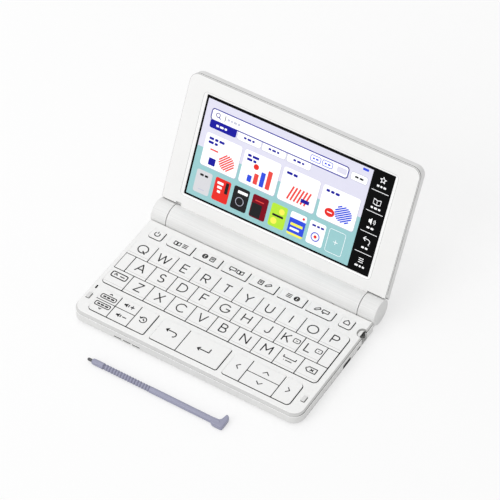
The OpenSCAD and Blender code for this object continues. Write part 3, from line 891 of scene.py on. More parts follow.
def grown_by_nodes(mesh: bpy.types.Mesh, tree: bpy.types.NodeTree, values: dict[str, object]) -> Obj:
    """Runs a geometry tree on a mesh and keeps the result as an object.

    Args:
        mesh: The mesh to start from; the object takes its name.
        tree: The tree, with named inputs.
        values: A value for each named input.

    Returns:
        The object.
    """
    obj = placed(mesh.name, mesh)
    change = obj.modifiers.new(tree.name, "NODES")
    change.node_group = tree
    for item in tree.interface.items_tree:
        if item.item_type == "SOCKET" and item.in_out == "INPUT" and item.name in values:
            change[item.identifier] = values[item.name]
    return plain(obj)


def new_tree(name: str, **inputs: str) -> tuple[Graph, bpy.types.NodeOutputs]:
    """Starts a geometry tree.

    Args:
        name: Its name.
        inputs: The kind of each named input besides the geometry.

    Returns:
        The graph and the sockets of its inputs.
    """
    tree = bpy.data.node_groups.new(name, "GeometryNodeTree")
    tree.interface.new_socket("Geometry", in_out="OUTPUT", socket_type="NodeSocketGeometry")
    tree.interface.new_socket("Geometry", in_out="INPUT", socket_type="NodeSocketGeometry")
    for label, kind in inputs.items():
        tree.interface.new_socket(label, in_out="INPUT", socket_type=f"NodeSocket{kind}")
    graph = Graph(tree)
    return graph, graph.node("NodeGroupInput").outputs


def close_tree(graph: Graph, points: Socket, piece: Socket, material: Socket) -> bpy.types.NodeTree:
    """Ends a geometry tree: a piece on each point, made real, then the material.

    Args:
        graph: The graph.
        points: The points.
        piece: What stands on each.
        material: The material input.

    Returns:
        The tree.
    """
    spread = graph.node("GeometryNodeInstanceOnPoints", {}, {"Points": points, "Instance": piece})
    real = graph.node("GeometryNodeRealizeInstances", {}, {0: spread.outputs[0]})
    dressed = graph.node("GeometryNodeSetMaterial", {}, {"Geometry": real.outputs[0], "Material": material})
    graph.node("NodeGroupOutput", {}, {0: dressed.outputs[0]})
    return graph.tree


# the case


@dataclass
class Case:
    """The lower case, the key deck with its end barrels, and what is let into them."""

    bevel: float = 1.4
    floor: float = 1.9
    wall: float = 1.2
    rim: float = 0.85
    dip: float = 0.61
    pocket_r: float = 8.15
    foot: float = 0.7
    bay_r: float = 1.98
    port: Point = (REAR - 29.1, 3.15)
    port_half: Point = (4.1, 1.4)
    slot: Point = (REAR - 17.8, REAR - 14.45)
    slot_z: Point = (2.1, 3.1)
    seam: Point = (REAR - 45.6, REAR - 45.3)
    speaker_x: float = -HALF_W + 37.3
    speaker_pitch: float = 6.1
    speaker_half: float = 2.425
    speaker_z: Point = (2.65, 3.3)
    bumpers: Point = (-HALF_W + 3.4, HALF_W - 4.4)
    screw_r: float = 1.8
    screw_h: float = 0.5
    screw_z: float = 1.03
    screw_hole: float = 2.0
    wells: Strokes = field(default_factory=list)
    pads: Strokes = field(default_factory=list)

    def plan(self, inset: float, more: float = 0.0) -> list[Point]:
        """Gives the case's plan, drawn in on every side.

        Args:
            inset: How far it is drawn in.
            more: How much further at the front.

        Returns:
            The points.
        """
        r, rear = CASE_R - inset, max(1.2 - inset, 0.1)
        radii = (r, r, rear, rear)
        return outline(-HALF_W + inset, HALF_W - inset, FRONT + inset + more, REAR - inset, radii, 14)

    def lip(self, rise: float) -> Callable[[Point], float]:
        """Gives a height over the deck's low edge, which dips along the front."""
        return lambda p: DECK_LOW + rise - self.dip * max(0.0, min(1.0, (FRONT + 6 - p[1]) / 5))

    def notch(self) -> Obj:
        """Makes the cutter of the finger notch at the stylus bay."""
        return stamp(outline(HALF_W - 1.8, HALF_W + 4, BAY_Y - 2.7, BAY_Y + 2.9, 0.9, 5), 1.3, 20)

    def pocket(self, x0: float, x1: float) -> Obj:
        """Makes the cutter of the hollow that the barrel turns in."""
        return axle(x0, x1, self.pocket_r, HINGE_Y, HINGE_Z)

    def lower(self) -> None:
        """Builds the lower case as one hollow shell with its openings."""
        shell = Solid()
        bevel = self.bevel
        rows = [(self.plan(bevel + 0.4), self.foot), (self.plan(bevel), self.foot + 0.02)]
        for i in range(1, 7):
            t = math.radians(90 * i / 6)
            rows.append((self.plan(bevel * (1 - math.sin(t))), self.foot + bevel * (1 - math.cos(t))))
        for inset, down in ((0, 0.35), (0.04, 0.18), (0.14, 0.05), (0.3, 0), (self.wall, 0)):
            rows.append((self.plan(inset), CASE_TOP - down))
        # the top bands, at the case's upper edge, take the brighter white: painted highlight
        shell.loft([*rows, (self.plan(self.wall), self.floor)], bands=[0] * 8 + [1] * 4)
        body = shell.raw("lower_case_skin")
        y, z = self.port
        across, up = self.port_half
        inside, outside = HALF_W - 3, HALF_W + 2
        port = outline(y - across, y + across, z - up, z + up, up * 0.98, 8)
        tools = [self.pocket(-outside, outside), self.notch(), stamp(port, inside, outside, Plane.SIDE),
                 axle(40, outside, self.bay_r, BAY_Y, BAY_Z),
                 stamp(outline(inside, outside, *self.slot, 0.1, 2), *self.slot_z),
                 stamp(outline(HALF_W - 0.3, outside, *self.seam, 0.02, 1), 2.2, CASE_TOP + 1)]
        for i in (-1, 0, 1):
            x = self.speaker_x + i * self.speaker_pitch
            opening = outline(x - self.speaker_half, x + self.speaker_half, FRONT - 1, FRONT + 2.5, 0.1, 2)
            tools.append(stamp(opening, *self.speaker_z))
        tools += [stamp(arc(*post, self.screw_hole, self.screw_hole, 0, 345, 23), -0.3, 1.3)
                  for post in POSTS]
        cut(body, tools)
        # the insides behind the speaker slots, the side slot and the port are near black, and the stylus bay
        # dark grey: painted shade
        side, skin = HALF_W - 3.1, HALF_W - 0.01
        for index, low, high in ((2, (-50, FRONT + 0.01, 2.5), (-20, FRONT + 3, 3.5)),
                                 (2, (side, REAR - 18, 1.7), (skin, REAR - 14, 3.2)),
                                 (2, (side, y - 4.4, 1.6), (skin, y + 4.4, 4.7)),
                                 (3, (40, BAY_Y - 2.1, 1.4), (HALF_W - 7, BAY_Y + 2.1, 5.5))):
            tint(body, index, low, high)
        keep(dress(body, [GREY, HIGHLIGHT, BLACK_AND_SHADE, SHADE]), "base", "case_grey", "lower_case")

    def parting_shade(self) -> None:
        """Builds a near-black ring in the parting line between case and deck, painted shade for the gap."""
        ring = Solid()
        low = CASE_TOP - 0.1
        rings = ring.loft([(self.plan(inset), z) for inset, z in (
            (0.2, low), (0.2, self.lip(0.03)), (1.1, self.lip(0.03)), (1.1, low))], ends=False)
        ring.bridge(rings[-1], rings[0])
        piece = cut(ring.raw("parting_gasket"), [self.pocket(-HALF_W - 2, HALF_W + 2), self.notch()])
        keep(dress(piece, [BLACK_AND_SHADE]), "base", "rubber_grey")

    def socket(self) -> None:
        """Builds the data socket's shell and tongue behind its opening."""
        y, z = self.port
        shell = Solid(Plane.SIDE)
        rows = []
        for deep, half in ((5.4, 1.13), (0.45, 1.13), (0.4, 1.05), (0.45, 0.95), (5.2, 0.95)):
            loop = outline(y - 2.95 - half, y + 2.95 + half, z - half, z + half, half * 0.98, 8)
            rows.append((loop, HALF_W - deep))
        shell.loft(rows)
        shell.plane, shell.index = Plane.LEVEL, 1
        shell.block(HALF_W - 5.2, HALF_W - 1.2, y - 3, y + 3, z - 0.3, z + 0.3, 0.2)
        keep(shell.finish("data_socket", [SOCKET, BLACK_AND_SHADE]), "base", "steel")

    def ramp(self) -> Obj:
        """Makes the cutter of the finger ramp on the deck.

        Returns:
            The cutter, unplaced.
        """
        x0 = HALF_W - 4.2
        loop = outline(x0, HALF_W + 6, BAY_Y - 3.2, BAY_Y + 3.2, (2.8, 0.3, 0.3, 2.8), 10)
        tool = Solid()
        tool.loft([(grow(loop, -0.5), lambda p: DECK_H - 0.95 - (p[0] - x0) * 0.06),
                   (grow(loop, 0.15), DECK_H), (grow(loop, 0.15), DECK_H + 3)])
        return tool.raw("ramp_cutter")

    def plate(self) -> Obj:
        """Makes the key deck's plate with its wells and its openings.

        Returns:
            The plate, unplaced.
        """
        slab = Solid()
        rows = [(self.plan(inset), self.lip(rise))
                for inset, rise in ((1.2, 0), (0.15, 0), (0.11, 0.04), (0.14, 0.12))]
        rows += [(self.plan(self.rim + inset, more), DECK_H - down)
                 for inset, more, down in ((-0.06, 0.35, 0.1), (0.02, 0.38, 0.03), (0.16, 0.42, 0))]
        # the sloping band round the deck's edge is a greyer white: painted shade
        rings = slab.loft(rows, ends=False, bands=[0, 2, 2, 2, 0, 0])
        holes = []
        # each well's wall ends in a near-black band: painted shade in the key gaps
        for well in self.wells:
            steps = [(grow(well, wider), DECK_H - down)
                     for wider, down in ((0.1, 0), (0.03, 0.03), (0, 0.1), (0, 0.12))]
            holes.append(slab.loft([*steps, (well, DECK_LOW)], ends=False, bands=[0, 0, 0, 1]))
        slab.cap([rings[-1], *(hole[0] for hole in holes)])
        slab.cap([rings[0], *(hole[-1] for hole in holes)])
        body = slab.raw("key_deck")
        cut_low, cut_high = DECK_H - 0.4, DECK_H + 3
        tools = [stamp(outline(x - 1.2, x + 1.5, FRONT + 10.9, FRONT + 15.4, 0.6, 5), cut_low, cut_high)
                 for x in self.bumpers]
        groove = outline(-HALF_W - 2, HALF_W + 2, REAR - 0.95, REAR - 0.35, 0.05, 1)
        microphone = outline(-HALF_W + 2.9, -HALF_W + 3.9, FRONT + 19.3, FRONT + 22.1, 0.48, 6)
        cut(body, [*tools, self.pocket(TURN_X0 - SEAM, TURN_X1 + SEAM), stamp(groove, cut_low, cut_high),
                   self.notch(), self.ramp(), stamp(microphone, 7, 10)])
        # the microphone hole's walls are near black, and the bumper recesses and the ramp's upright walls
        # dark grey: painted shade
        tint(body, 1, (-HALF_W + 2.5, FRONT + 19, 6.9), (-HALF_W + 4.2, FRONT + 22.4, DECK_H - 0.01))
        for x in self.bumpers:
            tint(body, 5, (x - 1.6, FRONT + 10.5, DECK_H - 0.5), (x + 1.8, FRONT + 15.8, DECK_H - 0.01))
        tint(body, 5, (HALF_W - 4.6, BAY_Y - 3.5, DECK_LOW), (HALF_W - 0.3, BAY_Y + 3.5, DECK_H - 0.02), True)
        return body

    def deck(self) -> None:
        """Builds the key deck with its pads, the end barrels and the webs that carry them."""
        whole = Solid()
        whole.absorb(self.plate())
        # the pads' upright sides are near black: painted shade in the gap round them
        for pad in self.pads:
            whole.loft([(pad, DECK_LOW), (pad, DECK_H + 0.27), (pad, DECK_H + 0.29),
                        (grow(pad, -0.03), DECK_H + 0.37), (grow(pad, -0.1), DECK_H + 0.4)], bands=[1])
        ends = Solid()
        for x0, x1 in ((-HALF_W, TURN_X0 - SEAM), (TURN_X1 + SEAM, HALF_W)):
            ends.turned(rod(x0, x1, 0.16), HINGE_Y, HINGE_Z, 128)
        # the flat end faces take the darker grey: painted shade
        for one in ends.mesh.faces:
            one.material_index = int(len(one.verts) > 100)
        whole.index = 3
        whole.absorb(ends.raw("end_barrels"))
        whole.index = 0
        for x0, x1 in ((-HALF_W + 1.2, TURN_X0 - SEAM - 0.2), (TURN_X1 + SEAM + 0.2, HALF_W - 1.2)):
            whole.block(x0, x1, REAR + 0.1, HINGE_Y, 1.6, DECK_H - 0.4)
        keep(whole.finish("keyboard_deck_skin", [WHITE, GAP_SHADE, RIM_SHADE, BARREL, DISC_SHADE, SHADE]), "base",
             "deck_white", "keyboard_deck")

    def screws(self) -> None:
        """Builds the screw heads from one geometry tree, a head on each post."""
        graph, given = new_tree("screw_heads", Radius="Float", Height="Float", Recess="Float",
                                Finish="Material")
        head = graph.node("GeometryNodeMeshCylinder", {"fill_type": "NGON"},
                          {"Vertices": 32, "Radius": given["Radius"], "Depth": given["Height"]})
        cross = graph.node("GeometryNodeMeshBoolean", {"operation": "UNION"})
        size = graph.node("ShaderNodeCombineXYZ", {},
                          {0: given["Radius"], 1: given["Recess"], 2: given["Height"]})
        low = graph.node("ShaderNodeMath", {"operation": "MULTIPLY"}, {0: given["Height"], 1: -0.5})
        shift = graph.node("ShaderNodeCombineXYZ", {}, {2: low.outputs[0]})
        for turn in (0.0, math.pi / 2):
            bar = graph.node("GeometryNodeMeshCube", {}, {"Size": size.outputs[0]})
            moved = graph.node("GeometryNodeTransform", {}, {
                "Geometry": bar.outputs[0], "Translation": shift.outputs[0], "Rotation": (0.0, 0.0, turn)})
            graph.feed(cross.inputs[1], moved.outputs[0])
        made = graph.node("GeometryNodeMeshBoolean", {"operation": "DIFFERENCE"},
                          {0: head.outputs[0], 1: cross.outputs[0]})
        tree = close_tree(graph, given["Geometry"], made.outputs[0], given["Finish"])
        mesh = bpy.data.meshes.new("screw_heads")
        mesh.from_pydata([(x * MM, y * MM, self.screw_z * MM) for x, y in POSTS], [], [])
        heads = grown_by_nodes(mesh, tree, {"Radius": self.screw_r * MM, "Height": self.screw_h * MM,
                                            "Recess": self.screw_h * MM, "Finish": STEEL.material()})
        keep(settle(heads), "base", "steel", "case_screws")

    def build(self) -> None:
        """Builds every piece of the case."""
        self.lower()
        self.parting_shade()
        self.socket()
        self.deck()
        self.screws()


# the keys


class Kind(Enum):
    """How a key is shaped on top."""

    FLAT = 0
    BAR = 1
    ROCKER = 2


@dataclass(frozen=True)
class Key:
    """One key: its name, its cell, its corner radii and its kind."""

    name: str
    x0: float
    x1: float
    y0: float
    y1: float
    radii: tuple[float, float, float, float]
    kind: Kind = Kind.FLAT

    def centre(self) -> Point:
        """Gives the middle of the cell, moved a little to the rear as the legends are."""
        return (self.x0 + self.x1) / 2, (self.y0 + self.y1) / 2 + 0.55


def letters() -> dict[str, Strokes]:
    """Draws thin, wide capitals as strokes, one unit high.

    Returns:
        The strokes of each letter.
    """
    p_head = [(0.0, 0.0), (0.0, 1.0), (0.38, 1.0), *arc(0.38, 0.73, 0.3, 0.27, 90, -90), (0.0, 0.46)]
    return {
        "a": [[(0, 0), (0.46, 1), (0.92, 0)], [(0.16, 0.33), (0.76, 0.33)]],
        "b": [[(0, 0), (0, 1), (0.36, 1), *arc(0.36, 0.77, 0.25, 0.23, 90, -90), (0, 0.54)],
              [(0.36, 0.54), *arc(0.4, 0.27, 0.28, 0.27, 90, -90), (0, 0)]],
        "c": [arc(0.52, 0.5, 0.52, 0.5, 42, 318, 24)],
        "d": [[(0, 0), (0, 1), (0.36, 1), *arc(0.36, 0.5, 0.52, 0.5, 90, -90, 20), (0, 0)]],
        "e": [[(0.62, 1), (0, 1), (0, 0), (0.62, 0)], [(0, 0.52), (0.56, 0.52)]],
        "f": [[(0.6, 1), (0, 1), (0, 0)], [(0, 0.5), (0.54, 0.5)]],
        "g": [[*arc(0.52, 0.5, 0.52, 0.5, 42, 345, 24), (1.02, 0.47), (0.6, 0.47)]],
        "h": [[(0, 0), (0, 1)], [(0.78, 0), (0.78, 1)], [(0, 0.52), (0.78, 0.52)]],
        "i": [[(0, 0), (0, 1)]],
        "j": [[(0.52, 1), (0.52, 0.28), *arc(0.26, 0.28, 0.26, 0.28, 0, -150)]],
        "k": [[(0, 0), (0, 1)], [(0.68, 1), (0, 0.4)], [(0.24, 0.6), (0.72, 0)]],
        "l": [[(0, 1), (0, 0), (0.58, 0)]],
        "m": [[(0, 0), (0.04, 1), (0.48, 0.34), (0.92, 1), (0.96, 0)]],
        "n": [[(0, 0), (0, 1), (0.78, 0), (0.78, 1)]],
        "o": [arc(0.54, 0.5, 0.54, 0.5, 0, 360, 30)],
        "p": [p_head],
        "q": [arc(0.54, 0.5, 0.54, 0.5, 0, 360, 30), [(0.62, 0.3), (1.02, -0.06)]],
        "r": [p_head, [(0.3, 0.46), (0.68, 0)]],
        "s": [[*arc(0.33, 0.75, 0.28, 0.25, 30, 250, 12), *arc(0.33, 0.26, 0.31, 0.26, 70, -150, 14)]],
        "t": [[(0, 1), (0.72, 1)], [(0.36, 1), (0.36, 0)]],
        "u": [[(0, 1), *arc(0.36, 0.36, 0.36, 0.36, 180, 360), (0.72, 1)]],
        "v": [[(0, 1), (0.43, 0), (0.86, 1)]],
        "w": [[(0, 1), (0.32, 0), (0.64, 0.94), (0.96, 0), (1.28, 1)]],
        "x": [[(0, 0), (0.76, 1)], [(0, 1), (0.76, 0)]],
        "y": [[(0, 1), (0.4, 0.44), (0.8, 1)], [(0.4, 0.44), (0.4, 0)]],
        "z": [[(0.02, 1), (0.7, 1), (0, 0), (0.72, 0)]],
    }


def box(cx: float, cy: float, w: float, h: float, r: float) -> list[Point]:
    """Draws a rounded box round its middle."""
    return outline(cx - w / 2, cx + w / 2, cy - h / 2, cy + h / 2, r, 5)


def pictograms() -> dict[str, Strokes]:
    """Draws the plain signs of the keys without letters, in millimetres round their middle.

    Returns:
        The strokes of each sign.
    """
    ring = arc(0, 0, 1, 1, 0, 360, 20)

    def at(points: Sequence[Point], x: float, y: float, k: float = 1.0) -> list[Point]:
        """Moves and scales a stroke."""
        return [(x + px * k, y + py * k) for px, py in points]

    book = [[(-2, -1.2), (-2, 1.1), (-0.2, 0.8), (-0.2, -1.5), (-2, -1.2)],
            [(0.2, -1.5), (0.2, 0.8), (2, 1.1), (2, -1.2), (0.2, -1.5)]]
    lines = [[(-1.6, y), (1.6, y)] for y in (1.1, 0, -1.1)]
    bubble = [[(-2, 1.2), (2, 1.2), (2, -0.7), (-0.3, -0.7), (-1.1, -1.6), (-1.1, -0.7), (-2, -0.7),
               (-2, 1.2)]]
    globe = [at(ring, 0, 0, 1.5), arc(0, 0, 0.7, 1.5, 0, 360, 16), [(-1.5, 0), (1.5, 0)]]
    pencil = [[(-1.7, -1.3), (-1.2, -0.1), (0.9, 1.5), (1.7, 0.6), (-0.4, -1.1), (-1.7, -1.3)]]
    sheet = [[(-1.3, -1.5), (-1.3, 1.5), (1.3, 1.5), (1.3, -1.5), (-1.3, -1.5)], [(-0.7, 0.6), (0.7, 0.6)],
             [(-0.7, -0.2), (0.7, -0.2)]]

    def frame(cy: float, w: float, h: float) -> list[Point]:
        """Draws a closed rounded frame round the middle of the key, or before or behind it."""
        points = box(0, cy, w, h, min(w, h) * 0.27)
        return [*points, points[0]]

    def pair(one: list, two: list) -> list[list[Point]]:
        """Sets two signs side by side."""
        return [at(s, -2.5, 0) for s in one] + [at(s, 2.5, 0) for s in two]

    return {
        "power": [arc(0, -0.3, 1.6, 1.5, 130, 410, 18), [(0, 0.3), (0, 1.9)]],
        "home": [[(-1.6, -1.4), (-1.6, 0.2), (0, 1.7), (1.6, 0.2), (1.6, -1.4), (-1.6, -1.4)]],
        "book_1": pair(book, lines), "book_2": pair(globe, sheet), "book_3": pair(bubble, book),
        "book_4": pair(sheet, pencil), "book_5": pair(lines, globe), "book_6": pair(pencil, bubble),
        "shift": [frame(1.4, 9.9, 3.8), [(-3.3, 1.0), (-2.3, 2.2), (-1.3, 1.0)], [(0.5, 1.4), (3.4, 1.4)]],
        "space": [[(-3.8, 1.9), (-3.8, 0.4), (3.8, 0.4), (3.8, 1.9)], [(-1.6, -1.4), (2.4, -1.4)],
                  [(-2.9, -1.4), (-2.5, -1.4)]],
        "delete": [[(-3.4, 0), (-1.8, 1.7), (3.2, 1.7), (3.2, -1.7), (-1.8, -1.7), (-3.4, 0)],
                   [(-0.5, 0.8), (1.5, -0.8)], [(-0.5, -0.8), (1.5, 0.8)]],
        "k": [frame(0, 3.8, 2.8), [(-0.6, 0), (0.6, 0)]], "l": [frame(0, 3.8, 2.8), [(-0.3, 0), (0.3, 0)]],
        "page": [frame(3.2, 9.6, 2.8), [(-0.9, 5.7), (0, 6.5), (0.9, 5.7)],
                 frame(-2.8, 9.6, 2.8), [(-0.9, -5.3), (0, -6.1), (0.9, -5.3)]],
        "volume": [[(-0.1, 3.4), (-0.1, 5.2)], [(1.0, 4.3), (3.6, 4.3)], [(2.3, 5.6), (2.3, 3.0)],
                   [(-0.1, -5.0), (-0.1, -3.2)], [(1.0, -4.1), (3.6, -4.1)]],
        "history": [arc(-0.2, 0, 2.0, 2.0, 160, -150, 20), [(-2.9, 1.4), (-2.1, 0.4), (-1.1, 1.2)],
                    [(-0.2, 1.2), (-0.2, 0), (0.9, -0.5)]],
        "back": [[(2.0, -1.7), (2.8, -1.7), *arc(2.0, -0.1, 1.6, 1.6, -60, 90, 10), (-3.4, 1.5)],
                 [(-2.0, 2.7), (-3.5, 1.5), (-2.0, 0.3)]],
        "enter": [[(3.6, 2.1), (3.6, -0.8), (-3.6, -0.8)], [(-2.1, 0.5), (-3.7, -0.8), (-2.1, -2.1)]],
        "left": [[(0.9, 1.8), (-0.9, 0), (0.9, -1.8)]],
        "right": [[(-0.9, 1.8), (0.9, 0), (-0.9, -1.8)]],
        "up_down": [[(-1.9, 2.9), (0, 4.6), (1.9, 2.9)], [(-1.9, -3.4), (0, -5.1), (1.9, -3.4)]],
    }


def blots() -> dict[str, Strokes]:
    """Draws the filled parts of the signs, as pictograms() does the drawn ones.

    Returns:
        The outlines of each sign.
    """
    horn = [(-3.0, -0.6), (-2.1, -0.6), (-0.9, -1.5), (-0.9, 1.5), (-2.1, 0.6), (-3.0, 0.6)]
    parts = [box(x, y, w, 1.1, 0.2) for y in (3.2, -2.8) for x, w in ((-2.6, 1.9), (-0.1, 2.1), (2.6, 2.2))]
    return {"volume": [[(x, y + 4.3) for x, y in horn], [(x, y - 4.1) for x, y in horn]], "page": parts}


@dataclass
class Keyboard:
    """All keys, their wells in the deck and their legends."""

    left: float = -70.95
    right: float = 69.55
    pitch_x: float = 14.05
    pitch_y: float = 12.7333
    gap: float = 0.54
    near: float = 0.08
    top: float = 9.4
    low: float = 7.6
    slope: float = 1.35
    drop: float = 0.1
    crease: float = 0.3
    corner: float = 2.4
    front: float = FRONT + 4.65
    rear: float = FRONT + 21.6
    rocker: float = FRONT + 13.4
    rows: tuple[str, ...] = ("qwertyuiop", "asdfghjkl", "zxcvbnm")
    letter_h: float = 5.75
    stroke: float = 0.74
    end_corner: float = 1.6
    row_rear: float = REAR - 5.5
    row_deep: float = 7.3
    books: int = 6
    book_x: float = -55.6
    book_pitch: float = 18.56
    book_w: float = 16.4

    def y(self, row: int) -> float:
        """Gives the front of a letter row, 0 for the one nearest the user."""
        return FRONT + 25.3 + row * self.pitch_y

    def keys(self) -> list[Key]:
        """Lists every key with its place.

        Returns:
            The keys.
        """
        made = []
        c, s = self.corner, 0.35
        rear, middle, front = self.rows
        for row, names, shift in ((2, list(rear), 0.0), (1, list(middle), 0.5),
                                  (0, ["shift", *front, "space", "delete"], 0.0)):
            for i, name in enumerate(names):
                x0 = self.left + (i + shift) * self.pitch_x
                radii = [s] * 4
                for end, corners in ((0, (0, None, 3)), (9, (1, None, 2))):
                    if i == end and corners[row] is not None:
                        radii[corners[row]] = c
                made.append(Key(name, x0, x0 + self.pitch_x, self.y(row), self.y(row + 1), tuple(radii),
                                Kind.BAR if name in ("f", "j") else Kind.FLAT))
        e, y1 = self.end_corner, self.row_rear
        y0 = y1 - self.row_deep
        made.append(Key("power", -67.9, -59.2, y0, y1, (e, e, s, s)))
        made.append(Key("home", 57.8, 65.8, y0, y1, (e, e, s, s)))
        for i in range(self.books):
            x0 = self.book_x + i * self.book_pitch
            made.append(Key(f"book_{i + 1}", x0, x0 + self.book_w, y0, y1,
                            (e if i == 0 else s, e if i == self.books - 1 else s, s, s)))
        for name, x0, x1, radii, kind in (("page", -66.2, -53.4, (c, s, s, c), Kind.ROCKER),
                                          ("volume", -53.4, -40.2, (s, s, s, s), Kind.ROCKER),
                                          ("history", -40.2, -28.9, (s, 1.1, 0.6, s), Kind.FLAT),
                                          ("back", -25.2, -8.0, (1.1, s, s, c), Kind.FLAT),
                                          ("enter", -8.0, 18.7, (s, 1.1, 0.6, s), Kind.FLAT),
                                          ("left", 21.7, 32.9, (e, s, s, c), Kind.FLAT),
                                          ("up_down", 32.9, 53.6, (s, s, s, s), Kind.ROCKER),
                                          ("right", 53.6, 64.9, (s, c, c, s), Kind.FLAT)):
            made.append(Key(name, x0, x1, self.front, self.rear, radii, kind))
        return made

    def wells(self) -> Strokes:
        """Draws the openings of the deck.

        Returns:
            The outline of each.
        """
        g, near, low = self.gap / 2, self.near, self.gap / 2 - 0.12
        c = self.corner

        def well(x0: float, x1: float, y0: float, y1: float, radii: Sequence[float]) -> list[Point]:
            """Draws one well, tight at the rear and the left, from the corner radii of its field."""
            a, b, c, d = radii
            return outline(x0 + near, x1 + g, y0 - low, y1 - near, (a + 0.03, b + g, c + 0.1, d - near), 8)

        made = [well(self.left, self.right, self.y(0), self.y(3), (c, c, c, c))]
        for x0, x1, radii in ((-66.2, -28.9, (c, 1.1, 0.6, c)), (-25.2, 18.7, (1.1, 1.1, 0.6, c)),
                              (21.7, 64.9, (self.end_corner, c, c, c))):
            made.append(well(x0, x1, self.front, self.rear, radii))
        made += [well(key.x0, key.x1, key.y0, key.y1, key.radii) for key in self.keys() if key.y0 > self.y(3)]
        return made

    def pads(self) -> Strokes:
        """Draws the fixed pads that fill both ends of the middle letter row.

        Returns:
            The outline of each.
        """
        g = self.gap / 2
        half = self.pitch_x / 2
        return [outline(x + g + edge, x + half - g, self.y(1) + g, self.y(2) - g, 0.25, 3)
                for x, edge in ((self.left, 0.32), (self.right - half, 0.0))]

    def crease_front(self, mesh: bmesh.types.BMesh, line: float) -> None:
        """Presses a fine crease across a cap, paints its faces a greyer white as shade, and lets the strip
        before it fall.

        Args:
            mesh: The cap.
            line: Where the strip ends.
        """
        for y in (line, line + self.crease / 2, line + self.crease):
            bmesh.ops.bisect_plane(mesh, geom=mesh.verts[:] + mesh.edges[:] + mesh.faces[:], dist=0.001,
                                   plane_co=(0, y, 0), plane_no=(0, 1, 0))
        for v in mesh.verts:
            if v.co.z > self.top - 0.1:
                if abs(v.co.y - line - self.crease / 2) < 0.01:
                    v.co.z -= 0.09
                elif v.co.y < line - 0.01:
                    v.co.z -= self.drop * (line - v.co.y) / self.slope
        for one in mesh.faces:
            middle = one.calc_center_median()
            if line < middle.y < line + self.crease and middle.z > self.top - 0.1:
                one.material_index = 2

    def cap(self, key: Key) -> None:
        """Builds one key cap with painted shade on its lower side walls, its eased edge and, on letter keys,
        its front crease.

        Args:
            key: The key.
        """
        g = self.gap / 2
        solid = Solid()
        radii = tuple(max(r - g, 0.22) for r in key.radii)
        loop = outline(key.x0 + g, key.x1 - g, key.y0 + g, key.y1 - g, radii, 6 if max(radii) > 1 else 3)
        # the lower band of the side wall is near black: painted shade in the gap round the key
        solid.loft([(loop, self.low), (loop, self.top - 0.23), (loop, self.top - 0.11),
                    (grow(loop, -0.03), self.top - 0.03), (grow(loop, -0.1), self.top)], bands=[1])
        if self.y(0) <= key.y0 < self.y(3) - 1:
            self.crease_front(solid.mesh, key.y0 + g + self.slope)
        if key.kind is Kind.BAR:
            mid, low = (key.x0 + key.x1) / 2, key.y0 + g
            solid.block(mid - 1.5, mid + 1.5, low + 2.1, low + 2.6, self.top - 0.1, self.top + 0.16)
        body = solid.raw(f"cap_{key.name}")
        if key.kind is Kind.ROCKER:
            mid = self.rocker
            groove = outline(key.x0 - 1, key.x1 + 1, mid + 0.1, mid + 0.6, 0.03, 1)
            cut(body, [stamp(groove, self.top - 0.5, self.top + 2)])
            # the rocker's middle groove is near black: painted shade
            tint(body, 1, (key.x0, mid, self.low), (key.x1, mid + 0.7, self.top - 0.01))
        keep(dress(body, [KEY, GAP_SHADE, RIM_SHADE]), f"key_{key.name}_body", "key_white", f"key_{key.name}")

    def legend(self, key: Key, shapes: dict[str, Strokes], signs: dict[str, Strokes]) -> None:
        """Prints one key's letter or sign.

        Args:
            key: The key.
            shapes: The strokes of the letters.
            signs: The strokes of the other signs.
        """
        cx, cy = key.centre()
        ink = Ink(Plane.LEVEL, self.top)
        if key.name in shapes:
            strokes = shapes[key.name]
            wide = max(p[0] for s in strokes for p in s) * self.letter_h
            x0 = cx - wide / 2 - (2.2 if key.name in ("k", "l") else 0)
            for s in strokes:
                ink.stroke([(x0 + x * self.letter_h, cy + (y - 0.5) * self.letter_h) for x, y in s],
                           self.stroke, LEGEND)
            if key.name in ("k", "l"):
                for s in signs[key.name]:
                    ink.stroke([(cx + 3.9 + x, cy + 0.7 + y) for x, y in s], 0.52, LEGEND)
        else:
            if key.kind is Kind.ROCKER:
                cy = self.rocker + 0.2
            width = {"shift": 0.74, "volume": 0.66, "enter": 0.7, "back": 0.7}.get(key.name, 0.6)
            for s in signs[key.name]:
                ink.stroke([(cx + x, cy + y) for x, y in s], width, LEGEND)
            for s in blots().get(key.name, []):
                ink.fill([(cx + x, cy + y) for x, y in s], LEGEND)
        keep(ink.build(f"legend_{key.name}"), f"key_{key.name}_body", "rubber_grey")

    def build(self) -> None:
        """Builds every key."""
        shapes, signs = letters(), pictograms()
        for key in self.keys():
            self.cap(key)
            self.legend(key, shapes, signs)


# the lid


